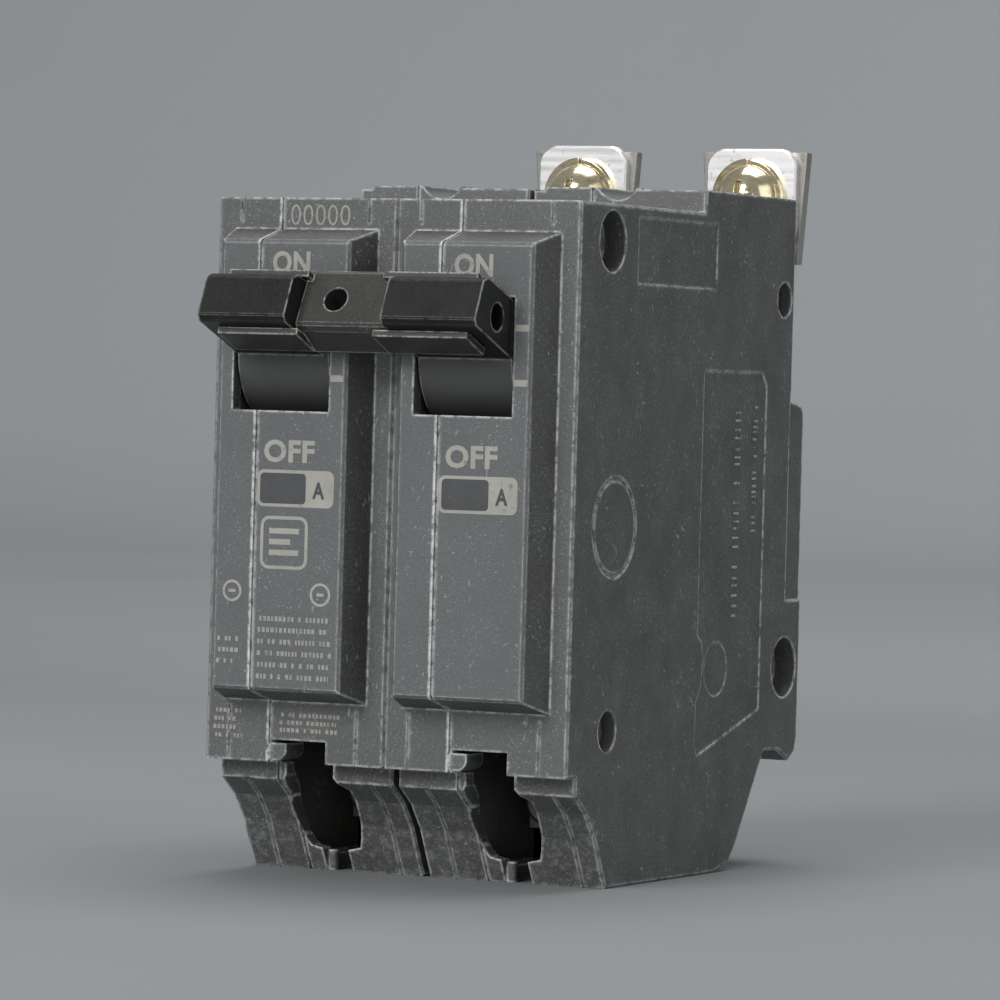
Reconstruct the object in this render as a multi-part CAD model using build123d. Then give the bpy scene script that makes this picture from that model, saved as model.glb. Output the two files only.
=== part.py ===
from build123d import *
import math
import os

os.makedirs("parts", exist_ok=True)

# Two-pole bolt-on circuit breaker.  Millimetres, X right, Y into the panel, Z up.
# Every pole is drawn in pole coordinates: x from its left side, y from its front
# shoulder face, z from its underside.  The placed object is centred on X and Y.

# ---------------------------------------------------------------- housing
POLE_WIDTH = 25.4
POLE_MID = POLE_WIDTH / 2
POLE_COUNT = 2
BODY_DEPTH = 65.0
FOOT_DEPTH = BODY_DEPTH + 4.7
BODY_HEIGHT = 85.0
REAR_HEIGHT = BODY_HEIGHT + 3.1
REAR_STEP_Y = 36.4
FOOT_TOP_Z = 61.2
FOOT_LOW_Z = 13.5
LIP_Z = 14.2
TIER_DEPTH = 2.6
TIER_Z = 11.9
WALL = 2.0
SEAM_X = POLE_MID - 3.48
SEAM_GROOVE_WIDTH = 0.32
SEAM_GROOVE_DEPTH = 0.3
EDGE_CHAMFER = 0.3
LOW_INSET = 1.0
REAR_INSET = 0.8
FOOT_INSET = 0.35
CENTRE_Y = 36.0

# ---------------------------------------------------------------- raised front panel
PANEL_PROUD = 5.4
PANEL_LEFT = POLE_MID - 9.05
PANEL_RIGHT = POLE_MID + 8.96
PANEL_LOW = 23.5
PANEL_TOP = BODY_HEIGHT - 5.5
PANEL_DRAFT = 1.15
PANEL_EDGE = 0.35
PANEL_WALL = 2.0
PANEL_CORE_SIDE = 1.75

# ---------------------------------------------------------------- handle and its tie
MECH_X = POLE_MID - 0.2
PIVOT_Y = 4.0
PIVOT_Z = BODY_HEIGHT - 19.4
ON_ANGLE = 19.6
WINDOW_WIDTH = 13.6
WINDOW_HALF_HEIGHT = 7.3
HANDLE_WIDTH = 12.9
DRUM_R = 9.0
TRUNNION_R = 2.2
TRUNNION_CLEARANCE = 0.05
TRUNNION_END = 2.9
BEARING_WALL = 1.8
LEVER_TIP = 19.65
LEVER_UNDER = -3.3
LEVER_OVER = 3.5
LEVER_RIDGE = -2.3
LEVER_BROW = 2.85
LEVER_LEAN = 0.45
LEVER_SIDE = 0.1
LEVER_TRIM = 0.85
LEVER_EDGE = 0.15
TIE_HOLE_R = 1.72
TIE_HOLE_REACH = 14.2
TIE_PIN_R = 1.6
TIE_FRONT = 16.7
TIE_REAR = 11.9
TIE_TOP = 5.2
TIE_LOW = -2.0
TIE_GAP = 0.12
TIE_SLIP = 0.08
TIE_BEVEL = 2.1
TIE_EYE_R = 1.55
TIE_EYE_DEPTH = 5.0
TIE_EYE_OFFSET = -1.8
TIE_ARM_FRONT = 17.3
TIE_ARM_THICK = 0.85
TIE_ARM_LEFT = 10.3
TIE_ARM_RIGHT = 11.15
TIE_ARM_ROOT = 0.8

# ---------------------------------------------------------------- contact arm
ARM_PIN_REACH = 7.3
ARM_PIN_R = 1.0
PIN_CLEARANCE = 0.04
ARM_THICK = 2.4
ARM_SLOT = 3.2
ARM_EYE_R = 2.2
ARM_WIDTH = 4.0
CONTACT_Y = 38.5
CONTACT_SIDE = 4.6
MOVING_PAD = 1.2
FIXED_PAD = 1.8
CONTACT_GAP = 0.1

# ---------------------------------------------------------------- line terminal
STRAP_Z = REAR_HEIGHT - 8.4
STRAP_THICK = 1.6
STRAP_WIDTH = 10.0
STRAP_FRONT = 35.4
TAB_Y = BODY_DEPTH + 14.3
TAB_TOP = STRAP_Z + 15.15
TAB_TOP_WIDTH = 15.4
TAB_LOW_WIDTH = 13.2
TAB_CORNER = 0.25
LINE_X = POLE_MID
LINE_SCREW_Z = STRAP_Z + 8.9
LINE_SCREW_R = 2.4
LINE_HOLE_CLEARANCE = 0.35
WASHER_SIDE = 13.3
WASHER_THICK = 1.3
WASHER_CORNER = 2.6
WASHER_LIFT = LINE_HOLE_CLEARANCE - 0.05
WASHER_HOLE_R = LINE_SCREW_R + LINE_HOLE_CLEARANCE
LOCK_R = 5.3
LOCK_THICK = 1.2
HEAD_R = 4.45
HEAD_HEIGHT = 3.3
LINE_SCREW_REACH = 6.41
NECK_R = LINE_SCREW_R - 0.35
NECK_END_GAP = 0.12
CHANNEL_R = 3.2
CHANNEL_Z = REAR_HEIGHT + 1.6

# ---------------------------------------------------------------- load terminal
LOAD_X = POLE_MID + 1.15
ENTRY_LEFT = LOAD_X - 4.55
ENTRY_RIGHT = LOAD_X + 5.15
ENTRY_LOW = 2.85
NOTCH_LEFT = LOAD_X - 4.25
NOTCH_RIGHT = LOAD_X + 3.35
NOTCH_TOP = 17.0
TIER_GAP_LEFT = LOAD_X - 3.55
TIER_GAP_RIGHT = LOAD_X + 3.15
SLOT_LEFT = LOAD_X - 2.25
SLOT_RIGHT = LOAD_X + 2.25
SLOT_REAR = 26.0
SLOT_MOUTH_RIGHT = SLOT_RIGHT - 0.8
SLOT_MOUTH_REAR = 13.4
RIB_R = 0.7
RIB_OFFSET = 0.4
LOAD_Z = 10.2
LOAD_SCREW_R = 2.0
LOAD_HEAD_R = 3.6
LOAD_HEAD_HEIGHT = 2.4
LOAD_HEAD_Y = 19.0
CLAMP_Y = 21.6
CLAMP_SIDE = 8.0
CLAMP_THICK = 1.6
CLAMP_TRAVEL = 2.0
LOAD_BAR_Y = 25.8
LOAD_BAR_THICK = 1.6
LOAD_BAR_WIDTH = 8.0
LOAD_FLOOR_Z = 3.1
LOAD_RISER_Y = 47.4
LOAD_RISER_TOP = 21.0

# ---------------------------------------------------------------- trip unit
CRADLE_Y = 24.0
CRADLE_Z = 50.0
CRADLE_THICK = 1.6
CRADLE_X = MECH_X + 6.8
CRADLE_PIN_R = 1.6
LATCH_Y = 42.5
LATCH_Z = 41.9
LATCH_GAP = 0.3
LATCH_OVERLAP = 0.2
SPRING_HOOK_Y = 14.8
SPRING_HOOK_Z = PIVOT_Z + 0.1
SPRING_PIN_R = 0.7
SPRING_EYE_Y = 31.0
SPRING_EYE_Z = PIVOT_Z + 6.6
SPRING_R = 1.5
SPRING_WIRE = 0.35
SPRING_TURNS = 11
TRIP_Y = 43.3
TRIP_Z = 26.4
TRIP_BAR_R = 1.9
TRIP_BEARING_CLEARANCE = 0.06
ARMATURE_THICK = 1.5
ARMATURE_WIDTH = 11.0
ARMATURE_TOP = 46.0
BIMETAL_THICK = 1.0
BIMETAL_WIDTH = 7.0
BIMETAL_TOP = 41.0
YOKE_WIDTH = 13.5
YOKE_WALL = 1.5
CAL_SCREW_Z = 17.0
CAL_SCREW_R = 1.5

# ---------------------------------------------------------------- arc chute
PLATE_COUNT = 5
PLATE_PITCH = 2.6
PLATE_THICK = 1.0
PLATE_LOW = STRAP_Z - 13.9
PLATE_WIDTH = 16.0
PLATE_FRONT = 43.0
PLATE_REAR = 57.0
PLATE_MOUTH = 6.4
FRAME_THICK = 1.0

# ---------------------------------------------------------------- rivets
RIVET_SHANK_R = 1.3
RIVET_HEAD_R = 2.05
RIVET_HEAD_HEIGHT = 0.9
RIVET_SLEEVE = 1.6
RIVET_HOLE_CLEARANCE = 0.08
RIVETS = (
    (9.1, BODY_HEIGHT - 4.7, 3.8, 3.2),
    (11.1, 19.6, 2.55, 2.6),
    (BODY_DEPTH - 0.3, 26.0, 3.95, 3.2),
    (BODY_DEPTH - 3.1, REAR_HEIGHT - 13.6, 2.3, 2.6),
)

# ---------------------------------------------------------------- side marks
RING_Y = 11.64
RING_Z = 44.96
RING_R = 6.3
RING_BAND = 0.55
RING_DEPTH = 0.3
DISC_R = 3.5
DISC_DEPTH = 0.25
LABEL_DEPTH = 0.15
SHOULDER_GROOVE = 0.14
SHOULDER_GROOVE_WIDTH = 0.3
SHOULDER_GROOVES = (3.4, 21.5)
MOULD_LINES = (4.55, 22.2)


def side_prism(points, x0, x1):
    """Extrude a (y, z) outline along X from x0 to x1."""
    wire = Polyline(*[(x0, y, z) for y, z in points], close=True)
    return extrude(make_face(wire), amount=x1 - x0, dir=(1, 0, 0))


def front_prism(points, y0, y1):
    """Extrude an (x, z) outline along Y from y0 to y1."""
    wire = Polyline(*[(x, y0, z) for x, z in points], close=True)
    return extrude(make_face(wire), amount=y1 - y0, dir=(0, 1, 0))


def block(x0, x1, y0, y1, z0, z1):
    """Box between six bounds."""
    centre = Pos((x0 + x1) / 2, (y0 + y1) / 2, (z0 + z1) / 2)
    return centre * Box(x1 - x0, y1 - y0, z1 - z0)


def rod_x(y, z, radius, x0, x1):
    """Cylinder along X."""
    return Pos((x0 + x1) / 2, y, z) * Rot(0, 90, 0) * Cylinder(radius, x1 - x0)


def rod_y(x, z, radius, y0, y1):
    """Cylinder along Y."""
    return Pos(x, (y0 + y1) / 2, z) * Rot(90, 0, 0) * Cylinder(radius, y1 - y0)


def lever_point(reach, rise, angle=ON_ANGLE):
    """(y, z) of a point given outward from the pivot and across the lever."""
    a = math.radians(angle)
    y = PIVOT_Y - reach * math.cos(a) + rise * math.sin(a)
    z = PIVOT_Z + reach * math.sin(a) + rise * math.cos(a)
    return (y, z)


def arm_pin_point():
    """(y, z) of the contact arm's pivot pin with the handle at ON."""
    return lever_point(-ARM_PIN_REACH, 0.0)


def drop_small(shape, least=0.5):
    """Keep only the solids above a small volume."""
    kept = [s for s in shape.solids() if s.volume > least]
    return kept[0] if len(kept) == 1 else Compound(children=kept)


# ------------------------------------------------------------------ housing


def body_outline():
    """Side outline of the housing."""
    return [
        (0.0, BODY_HEIGHT),
        (REAR_STEP_Y, BODY_HEIGHT),
        (REAR_STEP_Y, REAR_HEIGHT),
        (BODY_DEPTH, REAR_HEIGHT),
        (BODY_DEPTH, FOOT_TOP_Z),
        (FOOT_DEPTH - 0.8, FOOT_TOP_Z - 0.6),
        (FOOT_DEPTH, FOOT_TOP_Z - 1.8),
        (FOOT_DEPTH, FOOT_LOW_Z + 3.0),
        (FOOT_DEPTH - 0.7, FOOT_LOW_Z + 1.0),
        (FOOT_DEPTH - 2.4, FOOT_LOW_Z),
        (FOOT_DEPTH - 6.0, FOOT_LOW_Z + 1.5),
        (FOOT_DEPTH - 10.4, FOOT_LOW_Z + 1.6),
        (BODY_DEPTH - 6.9, FOOT_LOW_Z + 0.2),
        (BODY_DEPTH - 14.2, 3.2),
        (BODY_DEPTH - 16.4, 1.0),
        (BODY_DEPTH - 21.0, 0.0),
        (11.9, 0.0),
        (10.5, 2.5),
        (8.6, 6.2),
        (5.9, 9.5),
        (TIER_DEPTH, TIER_Z),
        (TIER_DEPTH, LIP_Z),
        (0.0, LIP_Z),
    ]


def cavity_outline():
    """Side outline of the hollow inside the housing."""
    return [
        (WALL, BODY_HEIGHT - WALL),
        (BODY_DEPTH - WALL, BODY_HEIGHT - WALL),
        (BODY_DEPTH - WALL, FOOT_TOP_Z - WALL - 0.6),
        (FOOT_DEPTH - WALL, FOOT_TOP_Z - WALL - 0.6),
        (FOOT_DEPTH - WALL, FOOT_LOW_Z + 3.6),
        (BODY_DEPTH - 8.0, FOOT_LOW_Z + 3.6),
        (BODY_DEPTH - 15.8, 5.0),
        (BODY_DEPTH - 18.4, WALL),
        (13.2, WALL),
        (12.3, 3.4),
        (10.4, 7.2),
        (7.4, 11.0),
        (TIER_DEPTH + WALL, 13.0),
        (TIER_DEPTH + WALL, LIP_Z + WALL),
        (WALL, LIP_Z + WALL),
    ]


def panel_frustum():
    """Raised front panel with drafted sides and a softened front edge."""
    left, right = PANEL_LEFT, PANEL_RIGHT
    low, top, d = PANEL_LOW, PANEL_TOP, PANEL_DRAFT
    y = -PANEL_PROUD
    front = Polyline((left, y, low), (right, y, low), (right, y, top), (left, y, top), close=True)
    d2 = d * 1.35
    base = Polyline(
        (left - d, 0, low - d2),
        (right + d, 0, low - d2),
        (right + d, 0, top + d2),
        (left - d, 0, top + d2),
        close=True,
    )
    body = loft([make_face(front), make_face(base)])
    foot = extrude(make_face(base), amount=1.0, dir=(0, 1, 0))
    body = chamfer(body.faces().sort_by(Axis.Y)[0].edges(), PANEL_EDGE)
    return body + foot


def outer_form():
    """Pole housing without its hollow."""
    core = side_prism(body_outline(), 0.0, POLE_WIDTH)
    rims = core.faces().sort_by(Axis.X)[0].edges() + core.faces().sort_by(Axis.X)[-1].edges()
    core = chamfer(rims, EDGE_CHAMFER)
    form = core + panel_frustum()
    form -= block(-1, LOW_INSET, -1, 58.0, -1, LIP_Z - 0.01)
    form -= block(-1, REAR_INSET, REAR_STEP_Y - 1, BODY_DEPTH + 15, BODY_HEIGHT, REAR_HEIGHT + 2)
    form -= block(-1, FOOT_INSET, BODY_DEPTH - 0.4, BODY_DEPTH + 15, 34.8, 62)
    form -= block(POLE_WIDTH - FOOT_INSET, POLE_WIDTH + 2, BODY_DEPTH - 0.4, BODY_DEPTH + 15, 34.8, 62)
    return form


def crossing(p, d, q, e):
    """Point where the line through p along d meets the line through q along e."""
    det = d[0] * e[1] - d[1] * e[0]
    if abs(det) < 1e-9:
        return q
    t = ((q[0] - p[0]) * e[1] - (q[1] - p[1]) * e[0]) / det
    return (p[0] + t * d[0], p[1] + t * d[1])


def inner_outline(points, inset):
    """Outline moved inwards for a groove of the given depth."""
    lines = []
    for k, (y0, z0) in enumerate(points):
        y1, z1 = points[(k + 1) % len(points)]
        length = math.hypot(y1 - y0, z1 - z0)
        dy, dz = (y1 - y0) / length, (z1 - z0) / length
        lines.append(((y0 + dz * inset, z0 - dy * inset), (dy, dz)))
    corners = []
    for k in range(len(lines)):
        corners.append(crossing(*lines[k - 1], *lines[k]))
    return corners


def seam_groove(form):
    """Shallow groove that runs round the parting line between the shells."""
    half = SEAM_GROOVE_WIDTH / 2
    slab = form & block(SEAM_X - half, SEAM_X + half, -20, BODY_DEPTH + 25, -5, REAR_HEIGHT + 12)
    d = SEAM_GROOVE_DEPTH
    core = side_prism(inner_outline(body_outline(), d), 0.0, POLE_WIDTH)
    top, low, y = PANEL_TOP - d, PANEL_LOW + d, -PANEL_PROUD + d
    core += block(PANEL_LEFT, PANEL_RIGHT, y, 5, low, top)
    return slab - core


def panel_core():
    """Hollow behind the raised front panel."""
    side = PANEL_CORE_SIDE
    return block(
        PANEL_LEFT + side,
        PANEL_RIGHT - side,
        -PANEL_PROUD + PANEL_WALL,
        WALL + 0.5,
        PANEL_LOW + side,
        PANEL_TOP - side,
    )


def window_cut():
    """Opening for the handle."""
    half = WINDOW_WIDTH / 2
    low, top = PIVOT_Z - WINDOW_HALF_HEIGHT, PIVOT_Z + WINDOW_HALF_HEIGHT
    return block(MECH_X - half, MECH_X + half, -10, WALL + 3, low, top)


def driver_channel():
    """Trough over the rear ridge that lets a driver reach the line screw."""
    return rod_y(LINE_X, CHANNEL_Z, CHANNEL_R, REAR_STEP_Y - 2, BODY_DEPTH + 2)


def ridge_relief():
    """Lowered strip beside the trough so the ridge shows its rounded lobe."""
    strip = block(0.0, 2.4, REAR_STEP_Y - 1, REAR_STEP_Y + 6, REAR_HEIGHT - 0.5, REAR_HEIGHT + 2)
    flat = block(POLE_MID + 2.9, POLE_WIDTH + 0.6, REAR_STEP_Y - 1, BODY_DEPTH + 1, REAR_HEIGHT - 0.25, REAR_HEIGHT + 2)
    return strip + flat


def entry_outline():
    """(x, z) outline of the lower wire entry."""
    l, r, b = ENTRY_LEFT, ENTRY_RIGHT, ENTRY_LOW
    return [
        (l + 0.9, 12.4),
        (l + 0.7, 11.8),
        (l + 0.3, 10.5),
        (l - 0.35, 8.5),
        (l - 0.4, 7.0),
        (l - 0.1, 5.0),
        (l + 0.35, 4.0),
        (l + 0.9, 3.2),
        (l + 2.2, b + 0.1),
        (r - 3.6, b),
        (r - 1.85, b + 0.4),
        (r - 1.4, 4.5),
        (r - 0.95, 6.5),
        (r - 0.7, 7.8),
        (r - 0.5, 9.5),
        (r - 0.3, 10.85),
        (r - 1.35, 11.6),
        (r - 1.7, 12.1),
        (r - 2.0, 12.4),
    ]


def entry_cut():
    """Wire entry, tier gap, lip notch and floor slot as one cutter."""
    cut = front_prism(entry_outline(), -5, 20.0)
    cut += block(TIER_GAP_LEFT, TIER_GAP_RIGHT, -5, 20.0, TIER_Z - 0.4, LIP_Z + 0.6)
    cut += block(NOTCH_LEFT, NOTCH_RIGHT, -5, 20.0, LIP_Z - 0.1, NOTCH_TOP)
    slot = block(SLOT_LEFT, SLOT_RIGHT, SLOT_MOUTH_REAR, SLOT_REAR, -2, ENTRY_LOW + 1.0)
    mouth = block(SLOT_LEFT, SLOT_MOUTH_RIGHT, 5, SLOT_MOUTH_REAR + 0.1, -2, ENTRY_LOW + 1.0)
    return cut + slot + mouth


def entry_chamber_walls():
    """Walls that close the load terminal off from the trip unit."""
    left = block(6.4, ENTRY_LEFT - 0.4, WALL, LOAD_BAR_Y - 1.0, WALL - 0.5, NOTCH_TOP + 1.6)
    right = block(ENTRY_RIGHT + 0.1, ENTRY_RIGHT + 1.7, WALL, LOAD_BAR_Y - 1.0, WALL - 0.5, NOTCH_TOP + 1.6)
    roof = block(6.4, ENTRY_RIGHT + 1.7, WALL - 1.0, LOAD_BAR_Y - 1.0, NOTCH_TOP + 0.2, NOTCH_TOP + 1.6)
    return left + right + roof


def chamber_void():
    """Space for the wire, the clamp plate and the screw, behind the front wall."""
    space = block(ENTRY_LEFT, ENTRY_RIGHT, TIER_DEPTH + WALL, LOAD_BAR_Y - 1.0, WALL + 0.9, NOTCH_TOP)
    return space & side_prism(cavity_outline(), 0.0, POLE_WIDTH)


def lip_tongue():
    """Small rounded tongue of the left shell at the lip notch."""
    tongue = block(9.0, 11.6, 0.05, TIER_DEPTH + 2.0, LIP_Z + 0.2, LIP_Z + 2.4)
    edge = tongue.edges().filter_by(Axis.Y).group_by(Axis.Z)[0].sort_by(Axis.X)[-1]
    return fillet(edge, 1.4)


def slot_rib():
    """Half-round rib on the left wall of the floor slot's mouth."""
    y = SLOT_MOUTH_REAR - 0.8
    return Pos(SLOT_LEFT + RIB_OFFSET, y, 1.3) * Cylinder(RIB_R, 2.6)


def bearing(y, z, radius, x0, x1):
    """Round boss for a bearing hole, drawn along X."""
    return rod_x(y, z, radius + BEARING_WALL, x0, x1)


def shell_bosses():
    """Bosses inside the housing for the trunnions, pins and rivets."""
    r = TRUNNION_R + TRUNNION_CLEARANCE
    half = HANDLE_WIDTH / 2 + 0.3
    parts = bearing(PIVOT_Y, PIVOT_Z, r, WALL - 0.5, MECH_X - half)
    parts += bearing(PIVOT_Y, PIVOT_Z, r, MECH_X + half, POLE_WIDTH - WALL + 0.5)
    parts += rod_x(CRADLE_Y, CRADLE_Z, CRADLE_PIN_R + 1.6, CRADLE_X + CRADLE_THICK + 0.4, POLE_WIDTH - 1.0)
    for y, z, well_r, well_depth in RIVETS:
        parts += rod_x(y, z, well_r + RIVET_SLEEVE, 1.0, well_depth + 1.6)
        parts += rod_x(y, z, well_r + RIVET_SLEEVE, POLE_WIDTH - well_depth - 1.6, POLE_WIDTH - 1.0)
        parts += rod_x(y, z, RIVET_SHANK_R + RIVET_SLEEVE, 1.0, POLE_WIDTH - 1.0)
    return parts


def shell_holes():
    """Bearing holes, rivet holes and rivet wells."""
    r = TRUNNION_R + TRUNNION_CLEARANCE
    cuts = rod_x(PIVOT_Y, PIVOT_Z, r, TRUNNION_END - 0.3, POLE_WIDTH - TRUNNION_END + 0.3)
    cuts += rod_x(CRADLE_Y, CRADLE_Z, CRADLE_PIN_R + PIN_CLEARANCE, CRADLE_X, POLE_WIDTH - WALL)
    cuts += rod_x(TRIP_Y, TRIP_Z, TRIP_BAR_R + TRIP_BEARING_CLEARANCE, WALL - 0.6, POLE_WIDTH - WALL + 0.6)
    for y, z, well_r, well_depth in RIVETS:
        cuts += rod_x(y, z, RIVET_SHANK_R + RIVET_HOLE_CLEARANCE, -1, POLE_WIDTH + 1)
    return cuts


def well_cuts(pole):
    """Rivet wells in the outer sides of the finished stack."""
    cuts = None
    for y, z, well_r, well_depth in RIVETS:
        if pole == 0:
            well = rod_x(y, z, well_r, -1, well_depth)
        else:
            well = rod_x(y, z, well_r, POLE_WIDTH - well_depth, POLE_WIDTH + 1)
        cuts = well if cuts is None else cuts + well
    return cuts


def strap_slot():
    """Slot in the rear wall for the line strap."""
    half = STRAP_WIDTH / 2 + 0.2
    low, top = STRAP_Z - 0.2, STRAP_Z + STRAP_THICK + 0.2
    return block(LINE_X - half, LINE_X + half, BODY_DEPTH - WALL - 1, BODY_DEPTH + 1, low, top)


def trip_passage(pole):
    """Hole between the poles for the common trip bar."""
    r = TRIP_BAR_R + TRIP_BEARING_CLEARANCE
    if pole == 0:
        return rod_x(TRIP_Y, TRIP_Z, r, POLE_WIDTH - WALL - 1, POLE_WIDTH + 1)
    return rod_x(TRIP_Y, TRIP_Z, r, -1, WALL + 1)


def side_marks(pole):
    """Shallow ring, disc and label recess in the outer side of the stack."""
    if pole == 0:
        face_x, inward = 0.0, 1.0
    else:
        face_x, inward = POLE_WIDTH, -1.0

    def disc(y, z, radius, depth):
        ends = sorted((face_x - inward, face_x + inward * depth))
        return rod_x(y, z, radius, ends[0], ends[1])

    ring = disc(RING_Y, RING_Z, RING_R, RING_DEPTH)
    ring -= disc(RING_Y, RING_Z, RING_R - RING_BAND, RING_DEPTH + 1)
    marks = ring + disc(TRIP_Y, TRIP_Z, DISC_R, DISC_DEPTH)
    ends = sorted((face_x - inward, face_x + inward * LABEL_DEPTH))
    marks += side_prism(label_outline(), ends[0], ends[1])
    marks += side_prism([(16.6, 75.3), (40.2, 75.3), (40.2, 83.6), (16.6, 83.6)], ends[0], ends[1])
    return marks


def label_outline():
    """Outline of the shallow label recess on the side."""
    return [
        (37.2, 16.6),
        (38.0, 15.4),
        (56.9, 20.7),
        (56.9, 63.0),
        (55.4, 64.8),
        (37.2, 64.8),
        (37.2, 30.9),
        (38.6, 30.0),
        (39.2, 28.0),
        (38.6, 24.2),
        (37.2, 22.2),
    ]


def shoulder_grooves():
    """Fine upright lines on the recessed front face."""
    cuts = None
    half = SHOULDER_GROOVE_WIDTH / 2
    for x in SHOULDER_GROOVES:
        line = block(x - half, x + half, -1, SHOULDER_GROOVE, PANEL_TOP + 2.4, BODY_HEIGHT + 1)
        line += block(x - half, x + half, -1, SHOULDER_GROOVE, LIP_Z - 1, PANEL_LOW - 2.4)
        cuts = line if cuts is None else cuts + line
    return cuts


def mould_lines():
    """Fine lines down the slanted lower front."""
    skin = side_prism(body_outline(), 0.0, POLE_WIDTH)
    skin -= side_prism(inner_outline(body_outline(), SHOULDER_GROOVE), -1, POLE_WIDTH + 1)
    lines = None
    for x in MOULD_LINES:
        line = block(x, x + SHOULDER_GROOVE_WIDTH, TIER_DEPTH - 1, 13.0, -1, TIER_Z)
        lines = line if lines is None else lines + line
    return skin & lines


def rear_vents():
    """Slots behind the arc chute."""
    cuts = None
    for k in range(2):
        z0 = STRAP_Z - 13.1 + 4.4 * k
        slot = block(MECH_X - 5, MECH_X + 5, BODY_DEPTH - WALL - 1, BODY_DEPTH + 1, z0, z0 + 2.0)
        cuts = slot if cuts is None else cuts + slot
    return cuts


def pole_housing(pole):
    """Finished housing of one pole before it is split at the seam."""
    form = outer_form()
    groove = seam_groove(form)
    shell = form - side_prism(cavity_outline(), WALL, POLE_WIDTH - WALL)
    shell -= panel_core()
    bosses = (shell_bosses() + entry_chamber_walls()) & side_prism(body_outline(), 0.2, POLE_WIDTH - 0.2)
    shell += bosses
    shell -= groove
    shell -= chamber_void()
    shell -= entry_cut()
    shell += lip_tongue() + slot_rib()
    shell -= window_cut()
    shell -= driver_channel() + ridge_relief()
    shell -= shell_holes()
    shell -= well_cuts(pole) + side_marks(pole)
    shell -= trip_passage(pole)
    shell -= strap_slot() + rear_vents() + shoulder_grooves()
    shell -= mould_lines()
    return shell


def split_housing(shell):
    """Left and right shells of one pole, parted at the seam."""
    left = shell & block(-2, SEAM_X, -20, BODY_DEPTH + 25, -5, REAR_HEIGHT + 12)
    right = shell & block(SEAM_X, POLE_WIDTH + 2, -20, BODY_DEPTH + 25, -5, REAR_HEIGHT + 12)
    return drop_small(left, 20), drop_small(right, 20)


# ------------------------------------------------------------------ handle


def lever_outline():
    """Side outline of the lever at ON."""
    points = [
        (6.0, LEVER_UNDER),
        (8.3, LEVER_UNDER),
        (LEVER_TIP - 0.75, LEVER_UNDER + 0.3),
        (LEVER_TIP, LEVER_RIDGE),
        (LEVER_TIP - LEVER_LEAN, LEVER_BROW),
        (LEVER_TIP - 1.55, LEVER_OVER + 0.1),
        (6.0, LEVER_OVER - 0.05),
    ]
    return [lever_point(r, t) for r, t in points]


def lever_span(pole):
    """Left and right x of a pole's lever; the left pole's gives room to the tie."""
    left = MECH_X - HANDLE_WIDTH / 2 - LEVER_SIDE
    right = MECH_X + HANDLE_WIDTH / 2
    return left, right - (LEVER_TRIM if pole == 0 else 0.0)


def handle(pole):
    """Toggle: drum, lever, trunnions, tie hole and slot for the contact arm."""
    x0, x1 = MECH_X - HANDLE_WIDTH / 2, MECH_X + HANDLE_WIDTH / 2
    lever = side_prism(lever_outline(), *lever_span(pole))
    long_edges = lever.edges().filter_by(Axis.X).group_by(Axis.Y)
    lever = chamfer(long_edges[0] + long_edges[1] + long_edges[2], LEVER_EDGE)
    shape = rod_x(PIVOT_Y, PIVOT_Z, DRUM_R, x0, x1) + lever
    shape += rod_x(PIVOT_Y, PIVOT_Z, TRUNNION_R, TRUNNION_END, POLE_WIDTH - TRUNNION_END)
    y, z = lever_point(TIE_HOLE_REACH, 0.0)
    shape -= rod_x(y, z, TIE_HOLE_R, x0 - 1, x1 + 1)
    shape -= arm_slot()
    y, z = arm_pin_point()
    shape -= rod_x(y, z, ARM_PIN_R + 0.02, x0 + 1.2, x1 - 1.2)
    return shape


def arm_slot():
    """Slot across the back of the drum."""
    half = ARM_SLOT / 2
    corners = [(-4.2, -12), (-4.2, 12), (-12, 12), (-12, -12)]
    return side_prism([lever_point(r, t) for r, t in corners], MECH_X - half, MECH_X + half)


def tie_span():
    """Left and right x of the tie block between the levers of both poles."""
    left = lever_span(0)[1] + TIE_GAP
    right = POLE_WIDTH + lever_span(1)[0] - TIE_GAP
    return left, right


def tie_arm(over, x0, x1):
    """Thin arm of the tie over (1) or under (-1) a lever."""
    skin = LEVER_OVER if over > 0 else LEVER_UNDER
    rise = skin + over * TIE_SLIP
    front = rise + (0.1 if over > 0 else 0.27)
    points = [
        (TIE_REAR + 0.3, rise + 0.1),
        (TIE_ARM_FRONT, front),
        (TIE_ARM_FRONT, front + over * TIE_ARM_THICK),
        (TIE_REAR + 0.3, rise + over * TIE_ARM_THICK),
    ]
    return side_prism([lever_point(r, t) for r, t in points], x0, x1)


def tie_block(left, right):
    """Middle of the tie, with its bevelled upper corner."""
    points = [
        (TIE_REAR, LEVER_UNDER - TIE_ARM_THICK),
        (TIE_FRONT - 0.8, TIE_LOW - 1.0),
        (TIE_FRONT - 0.15, TIE_LOW - 0.45),
        (TIE_FRONT, TIE_LOW),
        (TIE_FRONT - 0.95, TIE_TOP - 0.4),
        (TIE_FRONT - 1.4, TIE_TOP),
        (TIE_REAR + 0.3, TIE_TOP - 0.9),
    ]
    shape = side_prism([lever_point(r, t) for r, t in points], left, right)
    top = PIVOT_Z + 11.4
    corner = [(right + 1, top), (right - TIE_BEVEL - 0.6, top), (right + 0.2, top - 2.4)]
    return shape - front_prism(corner, -20, 0)


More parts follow.
